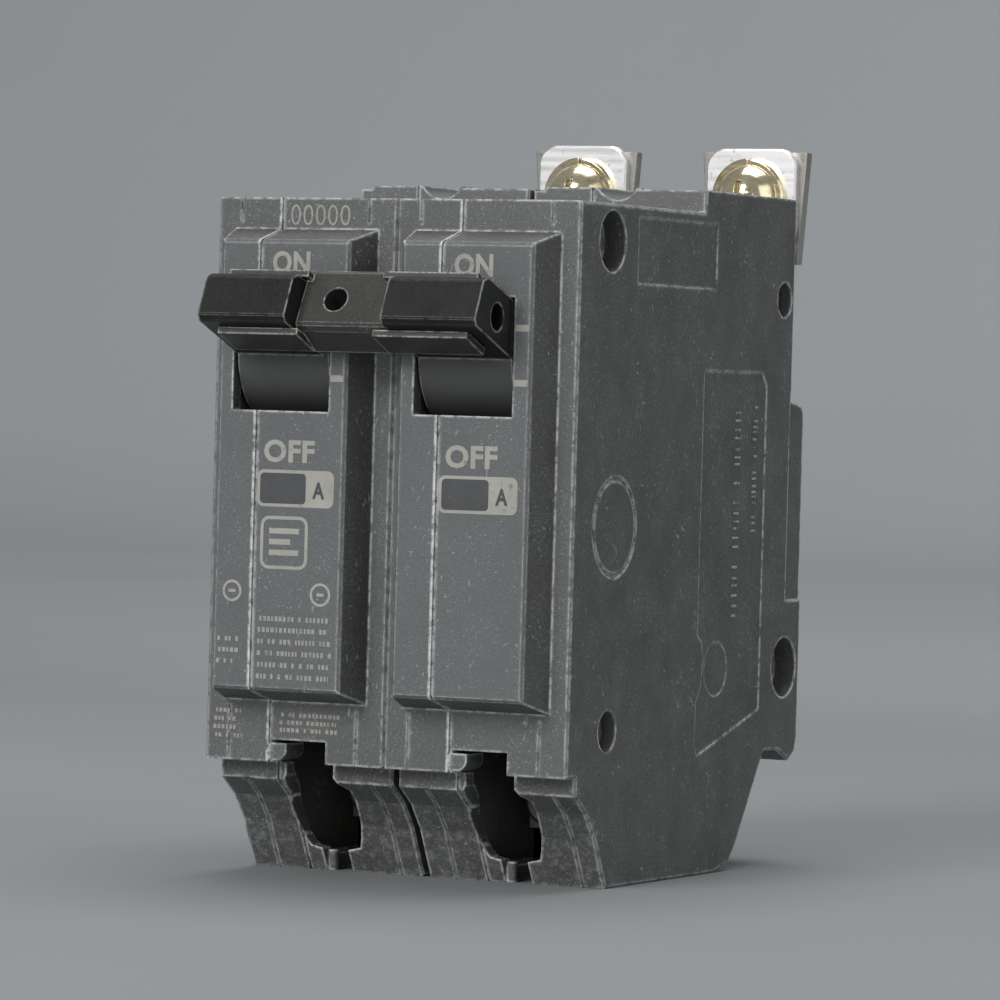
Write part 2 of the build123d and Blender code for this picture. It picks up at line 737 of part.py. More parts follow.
def tie_bar():
    """Moulded tie block with thin arms over and under each lever."""
    left, right = tie_span()
    shape = tie_block(left, right)
    for over in (1, -1):
        shape += tie_arm(over, left - TIE_ARM_LEFT, left + TIE_ARM_ROOT)
        shape += tie_arm(over, right - TIE_ARM_ROOT - 1.0, right + TIE_ARM_RIGHT)
    eye_x = (left + right) / 2 + TIE_EYE_OFFSET
    eye = Cylinder(TIE_EYE_R, TIE_EYE_DEPTH)
    y, z = lever_point(TIE_FRONT - TIE_EYE_DEPTH / 2 + 0.2, 1.1)
    shape -= Pos(eye_x, y, z) * Rot(90 - ON_ANGLE, 0, 0) * eye
    y, z = lever_point(TIE_HOLE_REACH, 0.0)
    shape -= rod_x(y, z, TIE_HOLE_R, left - 1, left + 2.5)
    shape -= rod_x(y, z, TIE_HOLE_R, right - 2.5, right + 1)
    return shape


def tie_pins():
    """Two steel pins that lock the tie block to the levers."""
    left, right = tie_span()
    y, z = lever_point(TIE_HOLE_REACH, 0.0)
    near = rod_x(y, z, TIE_PIN_R, left - 10.0, left + 2.3)
    far = rod_x(y, z, TIE_PIN_R, right - 2.3, right + 9.6)
    return near, far


def arm_pin():
    """Pin that carries the contact arm in the drum."""
    y, z = arm_pin_point()
    return rod_x(y, z, ARM_PIN_R, MECH_X - HANDLE_WIDTH / 2 + 1.4, MECH_X + HANDLE_WIDTH / 2 - 1.4)


# ------------------------------------------------------------------ contacts


def contact_arm():
    """Copper arm from the drum pin to the moving contact."""
    ay, az = arm_pin_point()
    top = STRAP_Z - FIXED_PAD - CONTACT_GAP - MOVING_PAD
    half = CONTACT_SIDE / 2 + 0.3
    x0, x1 = MECH_X - ARM_THICK / 2, MECH_X + ARM_THICK / 2
    points = [
        (ay - 0.9, az + 2.0),
        (CONTACT_Y - half - 2.0, top - 0.6),
        (CONTACT_Y - half, top),
        (CONTACT_Y + half, top),
        (CONTACT_Y + half, top - 2.2),
        (CONTACT_Y - half, top - 3.8),
        (ay + 0.9, az - 2.0),
    ]
    arm = side_prism(points, x0, x1)
    arm += rod_x(ay, az, ARM_EYE_R, x0, x1)
    arm -= rod_x(ay, az, ARM_PIN_R + PIN_CLEARANCE, x0 - 1, x1 + 1)
    arm += rod_x(SPRING_EYE_Y, SPRING_EYE_Z, SPRING_PIN_R, x1 - 0.5, x1 + 3.0)
    side = CONTACT_SIDE / 2
    seat = block(MECH_X - side, MECH_X + side, CONTACT_Y - half, CONTACT_Y + half, top - 1.4, top)
    return arm + seat


def pad(z0, z1):
    """Silver contact pad with softened corners."""
    half = CONTACT_SIDE / 2
    shape = block(MECH_X - half, MECH_X + half, CONTACT_Y - half, CONTACT_Y + half, z0, z1)
    return chamfer(shape.edges().filter_by(Axis.Z), 0.5)


def moving_pad():
    """Contact pad on the arm."""
    top = STRAP_Z - FIXED_PAD - CONTACT_GAP
    return pad(top - MOVING_PAD, top)


def fixed_pad():
    """Contact pad under the line strap."""
    return pad(STRAP_Z - FIXED_PAD, STRAP_Z)


def line_strap():
    """Plated strap: contact end, run through the rear wall, upright bolt-on tab."""
    half = STRAP_WIDTH / 2
    rear = TAB_Y + STRAP_THICK
    run = block(LINE_X - half, LINE_X + half, STRAP_FRONT, rear, STRAP_Z, STRAP_Z + STRAP_THICK)
    top, low = TAB_TOP_WIDTH / 2, TAB_LOW_WIDTH / 2
    c = TAB_CORNER
    points = [
        (LINE_X - low, STRAP_Z),
        (LINE_X + low, STRAP_Z),
        (LINE_X + top, TAB_TOP - c),
        (LINE_X + top - c * 0.35, TAB_TOP - c * 0.35),
        (LINE_X + top - c, TAB_TOP),
        (LINE_X - top + c, TAB_TOP),
        (LINE_X - top + c * 0.35, TAB_TOP - c * 0.35),
        (LINE_X - top, TAB_TOP - c),
    ]
    tab = front_prism(points, TAB_Y, TAB_Y + STRAP_THICK)
    strap = run + tab
    hole = LINE_SCREW_R + LINE_HOLE_CLEARANCE
    return strap - rod_y(LINE_X, LINE_SCREW_Z, hole, TAB_Y - 1, TAB_Y + STRAP_THICK + 1)


def square_washer():
    """Square plated washer with rounded corners and a shallow dished face."""
    half = WASHER_SIDE / 2
    y0 = TAB_Y - WASHER_THICK
    plate = block(LINE_X - half, LINE_X + half, y0, TAB_Y, LINE_SCREW_Z - half, LINE_SCREW_Z + half)
    plate = fillet(plate.edges().filter_by(Axis.Y), WASHER_CORNER)
    plate = chamfer(plate.faces().sort_by(Axis.Y)[0].edges(), 0.25)
    return plate - rod_y(LINE_X, LINE_SCREW_Z, WASHER_HOLE_R, y0 - 1, TAB_Y + 1)


def lock_washer():
    """Split spring washer."""
    y1 = TAB_Y - WASHER_THICK
    ring = rod_y(LINE_X, LINE_SCREW_Z, LOCK_R, y1 - LOCK_THICK, y1)
    ring -= rod_y(LINE_X, LINE_SCREW_Z, WASHER_HOLE_R, y1 - LOCK_THICK - 1, y1 + 1)
    ring = chamfer(ring.faces().sort_by(Axis.Y)[0].edges(), 0.3)
    gap = Pos(LINE_X, y1 - LOCK_THICK / 2, LINE_SCREW_Z + LOCK_R) * Rot(0, 0, 25) * Box(0.5, 6, 9)
    return ring - gap


def line_screw():
    """Domed screw with a recessed drive and a plain neck through the tab."""
    y1 = TAB_Y - WASHER_THICK - LOCK_THICK
    y0 = y1 - HEAD_HEIGHT
    shank_end = TAB_Y + STRAP_THICK + LINE_SCREW_REACH
    sphere_r = (HEAD_R**2 + HEAD_HEIGHT**2) / (2 * HEAD_HEIGHT)
    dome = Pos(LINE_X, y0 + sphere_r, LINE_SCREW_Z) * Sphere(sphere_r)
    dome &= block(LINE_X - 8, LINE_X + 8, y0 - 1, y1, LINE_SCREW_Z - 8, LINE_SCREW_Z + 8)
    thread_start = TAB_Y + STRAP_THICK + NECK_END_GAP
    shank = rod_y(LINE_X, LINE_SCREW_Z, LINE_SCREW_R, thread_start, shank_end)
    shank = chamfer(shank.faces().sort_by(Axis.Y)[-1].edges(), 0.6)
    neck = rod_y(LINE_X, LINE_SCREW_Z, NECK_R, y1 - 0.5, thread_start + 0.5)
    screw = dome + neck + shank
    for turn in (0, 90):
        bar = Rot(0, turn, 0) * Box(4.2, 4.0, 0.9)
        screw -= Pos(LINE_X, y0 - 0.2, LINE_SCREW_Z) * bar
    return screw


# ------------------------------------------------------------------ load terminal


def load_screw():
    """Clamp screw of the load terminal."""
    y0 = LOAD_HEAD_Y
    y1 = y0 + LOAD_HEAD_HEIGHT
    head = rod_y(LOAD_X, LOAD_Z, LOAD_HEAD_R, y0, y1)
    head = chamfer(head.faces().sort_by(Axis.Y)[0].edges(), 0.4)
    shank = rod_y(LOAD_X, LOAD_Z, LOAD_SCREW_R, y1 - 0.5, LOAD_BAR_Y + LOAD_BAR_THICK + 5.0)
    screw = head + shank
    screw -= block(LOAD_X - 4, LOAD_X + 4, y0 - 1, y0 + 1.2, LOAD_Z - 0.5, LOAD_Z + 0.5)
    return screw


def clamp_plate():
    """Pressure plate under the load screw's head."""
    half = CLAMP_SIDE / 2
    z0, z1 = LOAD_Z - half, LOAD_Z + half
    plate = block(LOAD_X - half, LOAD_X + half, CLAMP_Y, CLAMP_Y + CLAMP_THICK, z0, z1)
    for k in (-1, 0, 1):
        z = LOAD_Z + 2.6 * k - (0.3 if k == 0 else 0.0)
        plate -= rod_x(CLAMP_Y + CLAMP_THICK + 0.15, z, 0.4, LOAD_X - 9, LOAD_X + 9)
    return plate - rod_y(LOAD_X, LOAD_Z, LOAD_SCREW_R + 0.1, CLAMP_Y - 1, CLAMP_Y + 4)


def load_strap():
    """Strap from the clamp, along the floor, up to the bimetal."""
    half = LOAD_BAR_WIDTH / 2
    t = LOAD_BAR_THICK
    x0, x1 = LOAD_X - half, LOAD_X + half
    z1 = LOAD_FLOOR_Z + t
    strap = block(x0, x1, LOAD_BAR_Y, LOAD_BAR_Y + t, LOAD_FLOOR_Z, 15.2)
    strap += block(x0, x1, LOAD_BAR_Y, LOAD_RISER_Y, LOAD_FLOOR_Z, z1)
    bend = [
        (46.6, LOAD_FLOOR_Z),
        (46.6, z1),
        (LOAD_RISER_Y, 7.0),
        (LOAD_RISER_Y + t, 7.0),
        (47.7, 4.2),
        (47.0, LOAD_FLOOR_Z),
    ]
    strap += side_prism(bend, x0, x1)
    strap += block(x0, x1, LOAD_RISER_Y, LOAD_RISER_Y + t, 6.4, LOAD_RISER_TOP)
    hole = LOAD_SCREW_R + 0.1
    strap -= rod_y(LOAD_X, LOAD_Z, hole, LOAD_BAR_Y - 1, LOAD_BAR_Y + t + 1)
    return strap - rod_y(LOAD_X, CAL_SCREW_Z, CAL_SCREW_R, LOAD_RISER_Y - 1, LOAD_RISER_Y + t + 1)


def calibration_screw():
    """Set screw that trims the bimetal."""
    y1 = LOAD_RISER_Y + LOAD_BAR_THICK
    shank = rod_y(LOAD_X, CAL_SCREW_Z, CAL_SCREW_R, LOAD_RISER_Y - 0.8, y1 + 4.0)
    slot = block(LOAD_X - 3, LOAD_X + 3, y1 + 3.2, y1 + 5, CAL_SCREW_Z - 0.3, CAL_SCREW_Z + 0.3)
    return shank - slot


# ------------------------------------------------------------------ trip unit


def bimetal():
    """Thermal strip fixed to the top of the load strap."""
    y0 = LOAD_RISER_Y + LOAD_BAR_THICK
    half = BIMETAL_WIDTH / 2
    strip = block(LOAD_X - half, LOAD_X + half, y0, y0 + BIMETAL_THICK, LOAD_RISER_TOP - 1.9, BIMETAL_TOP)
    hook = block(LOAD_X - 2, LOAD_X + 2, y0, y0 + 3.2, BIMETAL_TOP - 1.0, BIMETAL_TOP)
    return strip + hook


def magnet_yoke():
    """U-shaped magnet iron round the bimetal."""
    half = YOKE_WIDTH / 2
    y1 = LOAD_RISER_Y + LOAD_BAR_THICK + BIMETAL_THICK + 2.6
    w = YOKE_WALL
    yoke = block(LOAD_X - half, LOAD_X + half, y1, y1 + w, 27.0, 37.0)
    yoke += block(LOAD_X - half, LOAD_X - half + w, y1 - 5.2, y1, 27.0, 37.0)
    return yoke + block(LOAD_X + half - w, LOAD_X + half, y1 - 5.2, y1, 27.0, 37.0)


def latch_front():
    """y of the armature's front face."""
    return LATCH_Y - LATCH_OVERLAP


def armature():
    """Armature plate with its latch window, hung on the common trip bar."""
    y0 = latch_front()
    y1 = y0 + ARMATURE_THICK
    half = ARMATURE_WIDTH / 2
    centre = CRADLE_X + CRADLE_THICK / 2 - 3.2
    ledge = LATCH_Z - LATCH_GAP
    plate = block(centre - half, centre + half, y0, y1, TRIP_Z, ARMATURE_TOP)
    plate += rod_x(TRIP_Y, TRIP_Z, TRIP_BAR_R + 1.3, centre - half, centre + half)
    window_x = CRADLE_X + CRADLE_THICK / 2
    plate -= block(window_x - 1.6, window_x + 1.6, y0 - 1, y1 + 1, ledge, ARMATURE_TOP - 1.4)
    return plate - rod_x(TRIP_Y, TRIP_Z, TRIP_BAR_R, 0, POLE_WIDTH)


def trip_bar():
    """Common trip bar through both poles."""
    far = POLE_COUNT * POLE_WIDTH
    return rod_x(TRIP_Y, TRIP_Z, TRIP_BAR_R, WALL - 0.4, far - WALL + 0.4)


def cradle():
    """Latched cradle lever with its spring hook pin."""
    x0, x1 = CRADLE_X, CRADLE_X + CRADLE_THICK
    points = [
        (SPRING_HOOK_Y - 1.7, SPRING_HOOK_Z + 1.2),
        (SPRING_HOOK_Y + 1.7, SPRING_HOOK_Z + 1.6),
        (CRADLE_Y + 3.4, CRADLE_Z + 2.0),
        (LATCH_Y - 2.0, LATCH_Z + 3.2),
        (LATCH_Y, LATCH_Z + 1.6),
        (LATCH_Y, LATCH_Z),
        (LATCH_Y - 5.0, LATCH_Z),
        (CRADLE_Y - 1.0, CRADLE_Z - 4.0),
        (CRADLE_Y - 3.6, CRADLE_Z),
    ]
    lever = side_prism(points, x0, x1)
    lever += rod_x(CRADLE_Y, CRADLE_Z, CRADLE_PIN_R, x1 - 0.5, POLE_WIDTH - WALL - 0.3)
    return lever + rod_x(SPRING_HOOK_Y, SPRING_HOOK_Z, SPRING_PIN_R, MECH_X + ARM_THICK / 2 + 0.9, x0 + 0.5)


def toggle_spring():
    """Over-centre tension spring between the cradle and the contact arm."""
    x = MECH_X + ARM_THICK / 2 + 2.6
    dy, dz = SPRING_EYE_Y - SPRING_HOOK_Y, SPRING_EYE_Z - SPRING_HOOK_Z
    reach = math.hypot(dy, dz)
    lead = 2.6
    length = reach - 2 * lead
    coil = Helix(length / SPRING_TURNS, length, SPRING_R)
    end = Plane(coil @ 0, z_dir=coil % 0)
    body = sweep(end * Circle(SPRING_WIRE), path=coil, is_frenet=True)
    body = Pos(0, 0, lead) * body
    for z0, z1 in ((1.1, lead + 0.2), (reach - lead - 0.2, reach - 1.1)):
        body += Pos(SPRING_R, 0, (z0 + z1) / 2) * Cylinder(SPRING_WIRE, z1 - z0)
    tilt = math.degrees(math.atan2(dy, dz))
    return Pos(x, SPRING_HOOK_Y, SPRING_HOOK_Z) * Rot(-tilt, 0, 0) * Rot(0, 0, 180) * body


def braid():
    """Flexible copper braid from the bimetal to the contact arm."""
    x = MECH_X - ARM_THICK / 2 - 2.3
    run = [(48.6, BIMETAL_TOP + 1.6), (44.5, 49.0), (34.0, 55.0), (27.0, 62.5), (24.5, PIVOT_Z + 1.9)]
    path = Spline(*[(x, y, z) for y, z in run])
    end = Plane(path @ 0, z_dir=path % 0)
    rope = sweep(end * Circle(1.2), path=path)
    return rope + block(x - 1.3, x + 1.3, 23.2, 25.8, PIVOT_Z + 0.8, PIVOT_Z + 4.4)


# ------------------------------------------------------------------ arc chute


def arc_plate(index):
    """One U-shaped arc plate."""
    z0 = PLATE_LOW + PLATE_PITCH * index
    half, mouth = PLATE_WIDTH / 2, PLATE_MOUTH / 2
    y0, y1 = PLATE_FRONT - 5.5, PLATE_REAR
    throat = PLATE_FRONT + 5.0
    points = [
        (MECH_X - half, y0),
        (MECH_X - mouth, y0),
        (MECH_X - mouth, throat),
        (MECH_X, throat + 2.4),
        (MECH_X + mouth, throat),
        (MECH_X + mouth, y0),
        (MECH_X + half, y0),
        (MECH_X + half, y1),
        (MECH_X - half, y1),
    ]
    wire = Polyline(*[(x, y, z0) for x, y in points], close=True)
    return extrude(make_face(wire), amount=PLATE_THICK, dir=(0, 0, 1))


def arc_plates():
    """Stack of arc plates."""
    return [arc_plate(k) for k in range(PLATE_COUNT)]


def arc_frame():
    """Fibre side walls and back of the arc chute."""
    half = PLATE_WIDTH / 2
    z0, z1 = PLATE_LOW - 0.8, PLATE_LOW + PLATE_PITCH * (PLATE_COUNT - 1) + PLATE_THICK + 0.8
    y0 = PLATE_FRONT - 5.5
    t = FRAME_THICK
    left = block(MECH_X - half - t, MECH_X - half, y0, PLATE_REAR + t, z0, z1)
    right = block(MECH_X + half, MECH_X + half + t, y0, PLATE_REAR + t, z0, z1)
    back = block(MECH_X - half - t, MECH_X + half + t, PLATE_REAR, PLATE_REAR + t, z0, z1)
    for k in range(PLATE_COUNT - 1):
        z = PLATE_LOW + PLATE_PITCH * k + PLATE_THICK + 0.4
        back -= block(MECH_X - 4, MECH_X + 4, PLATE_REAR - 1, PLATE_REAR + 3, z, z + 0.8)
    return left + right + back


# ------------------------------------------------------------------ rivets


def rivets():
    """Long rivets that hold both poles together, headed in their wells."""
    far = POLE_COUNT * POLE_WIDTH
    out = []
    for y, z, well_r, well_depth in RIVETS:
        x0, x1 = well_depth, far - well_depth
        h = RIVET_HEAD_HEIGHT
        shape = rod_x(y, z, RIVET_SHANK_R, x0 - 0.1, x1 + 0.1)
        shape += rod_x(y, z, RIVET_HEAD_R, x0 - h, x0) + rod_x(y, z, RIVET_HEAD_R, x1, x1 + h)
        shape -= rod_x(y, z, 0.8, x1 + h - 0.7, x1 + h + 1)
        out.append(shape - rod_x(y, z, 0.8, x0 - h - 1, x0 - h + 0.7))
    return out


# ------------------------------------------------------------------ assembly


def place(shape, pole=0):
    """Move a shape from pole coordinates to the finished frame."""
    return Pos(pole * POLE_WIDTH - POLE_WIDTH, -CENTRE_Y, 0) * shape


def save(node, shapes, pole=0):
    """Write one node; several solids become one compound."""
    flat = []
    for shape in shapes:
        flat += list(place(shape, pole).solids())
    out = flat[0] if len(flat) == 1 else Compound(children=flat)
    out.label = node
    export_step(out, f"parts/{node}.step")


def save_poles():
    """Write everything that each pole has of its own."""
    for pole in range(POLE_COUNT):
        tag = ("left", "right")[pole]
        cover, case = split_housing(pole_housing(pole))
        save(f"cover_{tag}", [cover], pole)
        save(f"case_{tag}", [case], pole)
        save(f"handle_{tag}", [handle(pole)], pole)
        save(f"contact_arm_{tag}", [contact_arm()], pole)
        save(f"moving_contact_{tag}", [moving_pad()], pole)
        save(f"fixed_contact_{tag}", [fixed_pad()], pole)
        save(f"line_strap_{tag}", [line_strap()], pole)
        save(f"line_screw_{tag}", [line_screw()], pole)
        save(f"lock_washer_{tag}", [lock_washer()], pole)
        save(f"load_screw_{tag}", [load_screw()], pole)
        save(f"clamp_plate_{tag}", [clamp_plate()], pole)
        save(f"load_strap_{tag}", [load_strap()], pole)
        save(f"bimetal_{tag}", [bimetal()], pole)
        save(f"magnet_yoke_{tag}", [magnet_yoke()], pole)
        save(f"armature_{tag}", [armature()], pole)
        save(f"cradle_{tag}", [cradle()], pole)
        save(f"toggle_spring_{tag}", [toggle_spring()], pole)
        save(f"braid_{tag}", [braid()], pole)
        save(f"arc_plates_{tag}", arc_plates(), pole)
        save(f"arc_frame_{tag}", [arc_frame()], pole)


def both_poles(shape):
    """The same shape in both poles, in the left pole's coordinates."""
    return [Pos(pole * POLE_WIDTH, 0, 0) * shape for pole in range(POLE_COUNT)]


def save_shared():
    """Write the pieces shared by the poles or repeated in them."""
    save("tie_bar", [tie_bar()])
    save("tie_pins", list(tie_pins()))
    save("arm_pins", both_poles(arm_pin()))
    save("trip_bar", [trip_bar()])
    near, far = both_poles(square_washer())
    save("square_washers", [Pos(0, 0, WASHER_LIFT) * near, far])
    save("calibration_screws", both_poles(calibration_screw()))
    save("rivets", rivets())


save_poles()
save_shared()
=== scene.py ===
import logging
import math
import random
from dataclasses import dataclass, field
from enum import Enum
from typing import Dict, List, Optional, Sequence, Tuple

import bmesh
import bpy
from mathutils import Matrix, Vector


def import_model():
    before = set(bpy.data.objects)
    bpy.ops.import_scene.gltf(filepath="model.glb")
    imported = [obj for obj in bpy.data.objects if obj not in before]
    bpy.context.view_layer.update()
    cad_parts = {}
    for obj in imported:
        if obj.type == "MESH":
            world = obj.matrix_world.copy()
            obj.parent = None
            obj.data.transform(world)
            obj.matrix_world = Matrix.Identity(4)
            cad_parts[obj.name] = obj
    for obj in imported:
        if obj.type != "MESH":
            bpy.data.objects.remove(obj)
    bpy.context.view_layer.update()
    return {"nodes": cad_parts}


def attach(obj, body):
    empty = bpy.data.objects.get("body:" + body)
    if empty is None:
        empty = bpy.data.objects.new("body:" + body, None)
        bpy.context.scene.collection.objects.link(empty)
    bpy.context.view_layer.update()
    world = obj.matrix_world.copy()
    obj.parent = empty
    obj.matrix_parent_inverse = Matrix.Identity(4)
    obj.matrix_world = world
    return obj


LOG = logging.getLogger("breaker")
MM = 0.001
POLE_PITCH = 25.4
FRAME_DEPTH = 36.0

EDGE_SAMPLES = 4
RING_STEPS = 40
FAR = 9.0

# Sizes of noise, in repeats per metre.
SMUDGES = 38.0
PATCHES = 160.0
MOTTLE = 2600.0
GRIT = 4300.0
GRAIN = 3200.0
SWELL = 500.0
LARGE_SPECKS = 620.0
SMALL_SPECKS = 1500.0
WEAR_GAPS = 420.0
CREST_GAPS = 760.0
BRUSH_ACROSS = 1500.0
BRUSH_ALONG = 60.0
SCRATCH_STRETCH = 0.13

# Sockets of the Mix node when it mixes colours.
MIX_FACTOR, MIX_A, MIX_B, MIX_RESULT = 0, 6, 7, 2

Colour = Tuple[float, float, float]
Point = Tuple[float, float, float]
Socket = bpy.types.NodeSocket
Span = Tuple[float, float]


class Pole(Enum):
    """The two poles, by their place in the stack."""

    LEFT = 0
    RIGHT = 1

    @property
    def tag(self) -> str:
        """Name ending of this pole's CAD nodes."""
        return self.name.lower()

    @property
    def shift(self) -> float:
        """Millimetres from pole coordinates to the frame along X."""
        return (self.value - 1) * POLE_PITCH


class Axis(Enum):
    """An axis of the frame, by its index."""

    X = 0
    Y = 1
    Z = 2


# ---------------------------------------------------------------- node graphs


@dataclass
class Graph:
    """Small helper that builds a material's node tree.

    Args:
        name: name of the material.
    """

    name: str
    material: bpy.types.Material = field(init=False)
    shader: bpy.types.Node = field(init=False)
    coords: Socket = field(init=False)

    def __post_init__(self) -> None:
        """Create the material with its shader and object coordinates."""
        self.material = bpy.data.materials.new(self.name)
        self.material.use_nodes = True
        tree = self.material.node_tree
        tree.nodes.clear()
        out = tree.nodes.new("ShaderNodeOutputMaterial")
        self.shader = tree.nodes.new("ShaderNodeBsdfPrincipled")
        tree.links.new(self.shader.outputs[0], out.inputs[0])
        self.coords = tree.nodes.new("ShaderNodeTexCoord").outputs["Object"]

    def node(self, kind: str, **values: object) -> bpy.types.Node:
        """Add a node and set its plain attributes."""
        made = self.material.node_tree.nodes.new(kind)
        for key, value in values.items():
            setattr(made, key, value)
        return made

    def link(self, source: Socket, target: Socket) -> None:
        """Join two sockets."""
        self.material.node_tree.links.new(source, target)

    def feed(self, socket: Socket, value: object) -> None:
        """Give a socket either a link or a plain value."""
        if isinstance(value, Socket):
            self.link(value, socket)
        elif isinstance(value, tuple) and len(value) == 3 and socket.type == "RGBA":
            socket.default_value = (*value, 1.0)
        else:
            socket.default_value = value

    def mapped(self, scale: Sequence[float], turn: Sequence[float] = (0, 0, 0)) -> Socket:
        """Object coordinates turned, then scaled.

        Args:
            scale: repeats per metre along each axis.
            turn: Euler angles in radians.

        Returns:
            The mapped vector socket.
        """
        mapping = self.node("ShaderNodeMapping", vector_type="TEXTURE")
        self.link(self.coords, mapping.inputs["Vector"])
        mapping.inputs["Scale"].default_value = [1.0 / s for s in scale]
        mapping.inputs["Rotation"].default_value = turn
        return mapping.outputs[0]

    def noise(
        self, scale: float, detail: float = 2.0, vector: Optional[Socket] = None, rough: float = 0.5
    ) -> Socket:
        """Noise value socket."""
        made = self.node("ShaderNodeTexNoise")
        self.link(vector if vector is not None else self.coords, made.inputs["Vector"])
        made.inputs["Scale"].default_value = scale
        made.inputs["Detail"].default_value = detail
        made.inputs["Roughness"].default_value = rough
        return made.outputs[0]

    def cells(self, scale: float) -> Socket:
        """Distance to the nearest Voronoi point."""
        made = self.node("ShaderNodeTexVoronoi")
        self.link(self.coords, made.inputs["Vector"])
        made.inputs["Scale"].default_value = scale
        return made.outputs["Distance"]

    def math(self, operation: str, a: object, b: object = 0.0, clamp: bool = False) -> Socket:
        """Math node on two values."""
        made = self.node("ShaderNodeMath", operation=operation, use_clamp=clamp)
        self.feed(made.inputs[0], a)
        self.feed(made.inputs[1], b)
        return made.outputs[0]

    def ramp(
        self, value: object, low: float, high: float, start: float = 0.0, end: float = 1.0
    ) -> Socket:
        """Clamped linear remap of a value."""
        made = self.node("ShaderNodeMapRange")
        made.clamp = True
        self.feed(made.inputs["Value"], value)
        made.inputs["From Min"].default_value = low
        made.inputs["From Max"].default_value = high
        made.inputs["To Min"].default_value = start
        made.inputs["To Max"].default_value = end
        return made.outputs[0]

    def blend(self, factor: object, a: object, b: object) -> Socket:
        """Mix two colours by a factor."""
        made = self.node("ShaderNodeMix", data_type="RGBA")
        self.feed(made.inputs[MIX_FACTOR], factor)
        self.feed(made.inputs[MIX_A], a)
        self.feed(made.inputs[MIX_B], b)
        return made.outputs[MIX_RESULT]

    def inside(self, low: Sequence[float], high: Sequence[float], soft: float) -> Socket:
        """Mask that is 1 inside a box of object space.

        Args:
            low: lowest corner in metres.
            high: highest corner in metres.
            soft: width over which the mask fades in metres.

        Returns:
            The mask socket.
        """
        split = self.node("ShaderNodeSeparateXYZ")
        self.link(self.coords, split.inputs[0])
        mask = None
        for axis in range(3):
            for bound, sign in ((low[axis], 1), (high[axis], -1)):
                if abs(bound) >= FAR:
                    continue
                part = self.ramp(split.outputs[axis], bound - sign * soft, bound + sign * soft)
                mask = part if mask is None else self.math("MULTIPLY", mask, part)
        return mask

    def facing(self, axis: Axis, least: float = 0.6) -> Socket:
        """Mask of faces that look along an axis, either way."""
        geometry = self.node("ShaderNodeNewGeometry")
        split = self.node("ShaderNodeSeparateXYZ")
        self.link(geometry.outputs["Normal"], split.inputs[0])
        return self.ramp(self.math("ABSOLUTE", split.outputs[axis.value]), least, least + 0.2)

    def dots(self, scale: float, size: float) -> Socket:
        """Scattered small dots, as a mask."""
        spots = self.ramp(self.cells(scale), size, size * 0.6)
        gate = self.ramp(self.noise(scale * 0.21, 2.0), 0.5, 0.6)
        return self.math("MULTIPLY", spots, gate)

    def edges(self, radius: float) -> Socket:
        """Mask that is 1 near sharp edges and 0 on flats.

        Args:
            radius: width of the edge band in metres.

        Returns:
            The mask socket.
        """
        geometry = self.node("ShaderNodeNewGeometry")
        dot = self.node("ShaderNodeVectorMath", operation="DOT_PRODUCT")
        self.link(self.rounded(radius), dot.inputs[0])
        self.link(geometry.outputs["Normal"], dot.inputs[1])
        return self.ramp(dot.outputs["Value"], 0.995, 0.80)

    def rounded(self, radius: float) -> Socket:
        """Normal that rounds sharp edges."""
        bevel = self.node("ShaderNodeBevel", samples=EDGE_SAMPLES)
        bevel.inputs["Radius"].default_value = radius
        return bevel.outputs[0]

    def bump(
        self, height: object, strength: float, distance: float, normal: Optional[Socket] = None
    ) -> Socket:
        """Bump normal from a height value."""
        made = self.node("ShaderNodeBump")
        made.inputs["Strength"].default_value = strength
        made.inputs["Distance"].default_value = distance
        self.feed(made.inputs["Height"], height)
        if normal is not None:
            self.link(normal, made.inputs["Normal"])
        return made.outputs[0]

    def scratches(self, tilt: float, density: float, fine: float) -> Socket:
        """Short thin scratches that lean one way.

        Args:
            tilt: lean from the upright in radians, on front and side faces alike.
            density: cut-off of the line noise; nearer 1 gives fewer lines.
            fine: repeats per metre across the lines.

        Returns:
            Mask socket of the scratches.
        """
        stretched = self.mapped((fine, fine, fine * SCRATCH_STRETCH), (tilt, tilt, 0.0))
        lines = self.noise(1.0, 1.0, stretched)
        gate = self.ramp(self.noise(150.0 + 70.0 * tilt, 3.0, rough=0.65), 0.53, 0.62)
        return self.math("MULTIPLY", self.ramp(lines, density, density + 0.04), gate)


# ---------------------------------------------------------------- finishes


@dataclass(frozen=True)
class Zone:
    """A box of object space where a finish changes colour.

    Args:
        low: lowest corner in metres; FAR leaves a side open.
        high: highest corner in metres.
        colour: colour inside the zone.
        amount: how far the colour changes, 0 to 1.
        soft: fade width in metres.
        facing: axis that changed faces look along, or None for all.
        broken: share of the zone that noise leaves out, 0 to 1.
    """

    low: Point
    high: Point
    colour: Colour
    amount: float = 0.6
    soft: float = 0.0002
    facing: Optional[Axis] = None
    broken: float = 0.0

    def mask(self, g: Graph) -> Socket:
        """Mask socket of the zone in a graph."""
        mask = g.math("MULTIPLY", g.inside(self.low, self.high, self.soft), self.amount)
        if self.facing is not None:
            mask = g.math("MULTIPLY", mask, g.facing(self.facing))
        if self.broken > 0:
            low = 0.34 + 0.26 * self.broken
            gate = g.ramp(g.noise(850.0, 4.0, rough=0.75), low, low + 0.12)
            mask = g.math("MULTIPLY", mask, gate)
        return mask


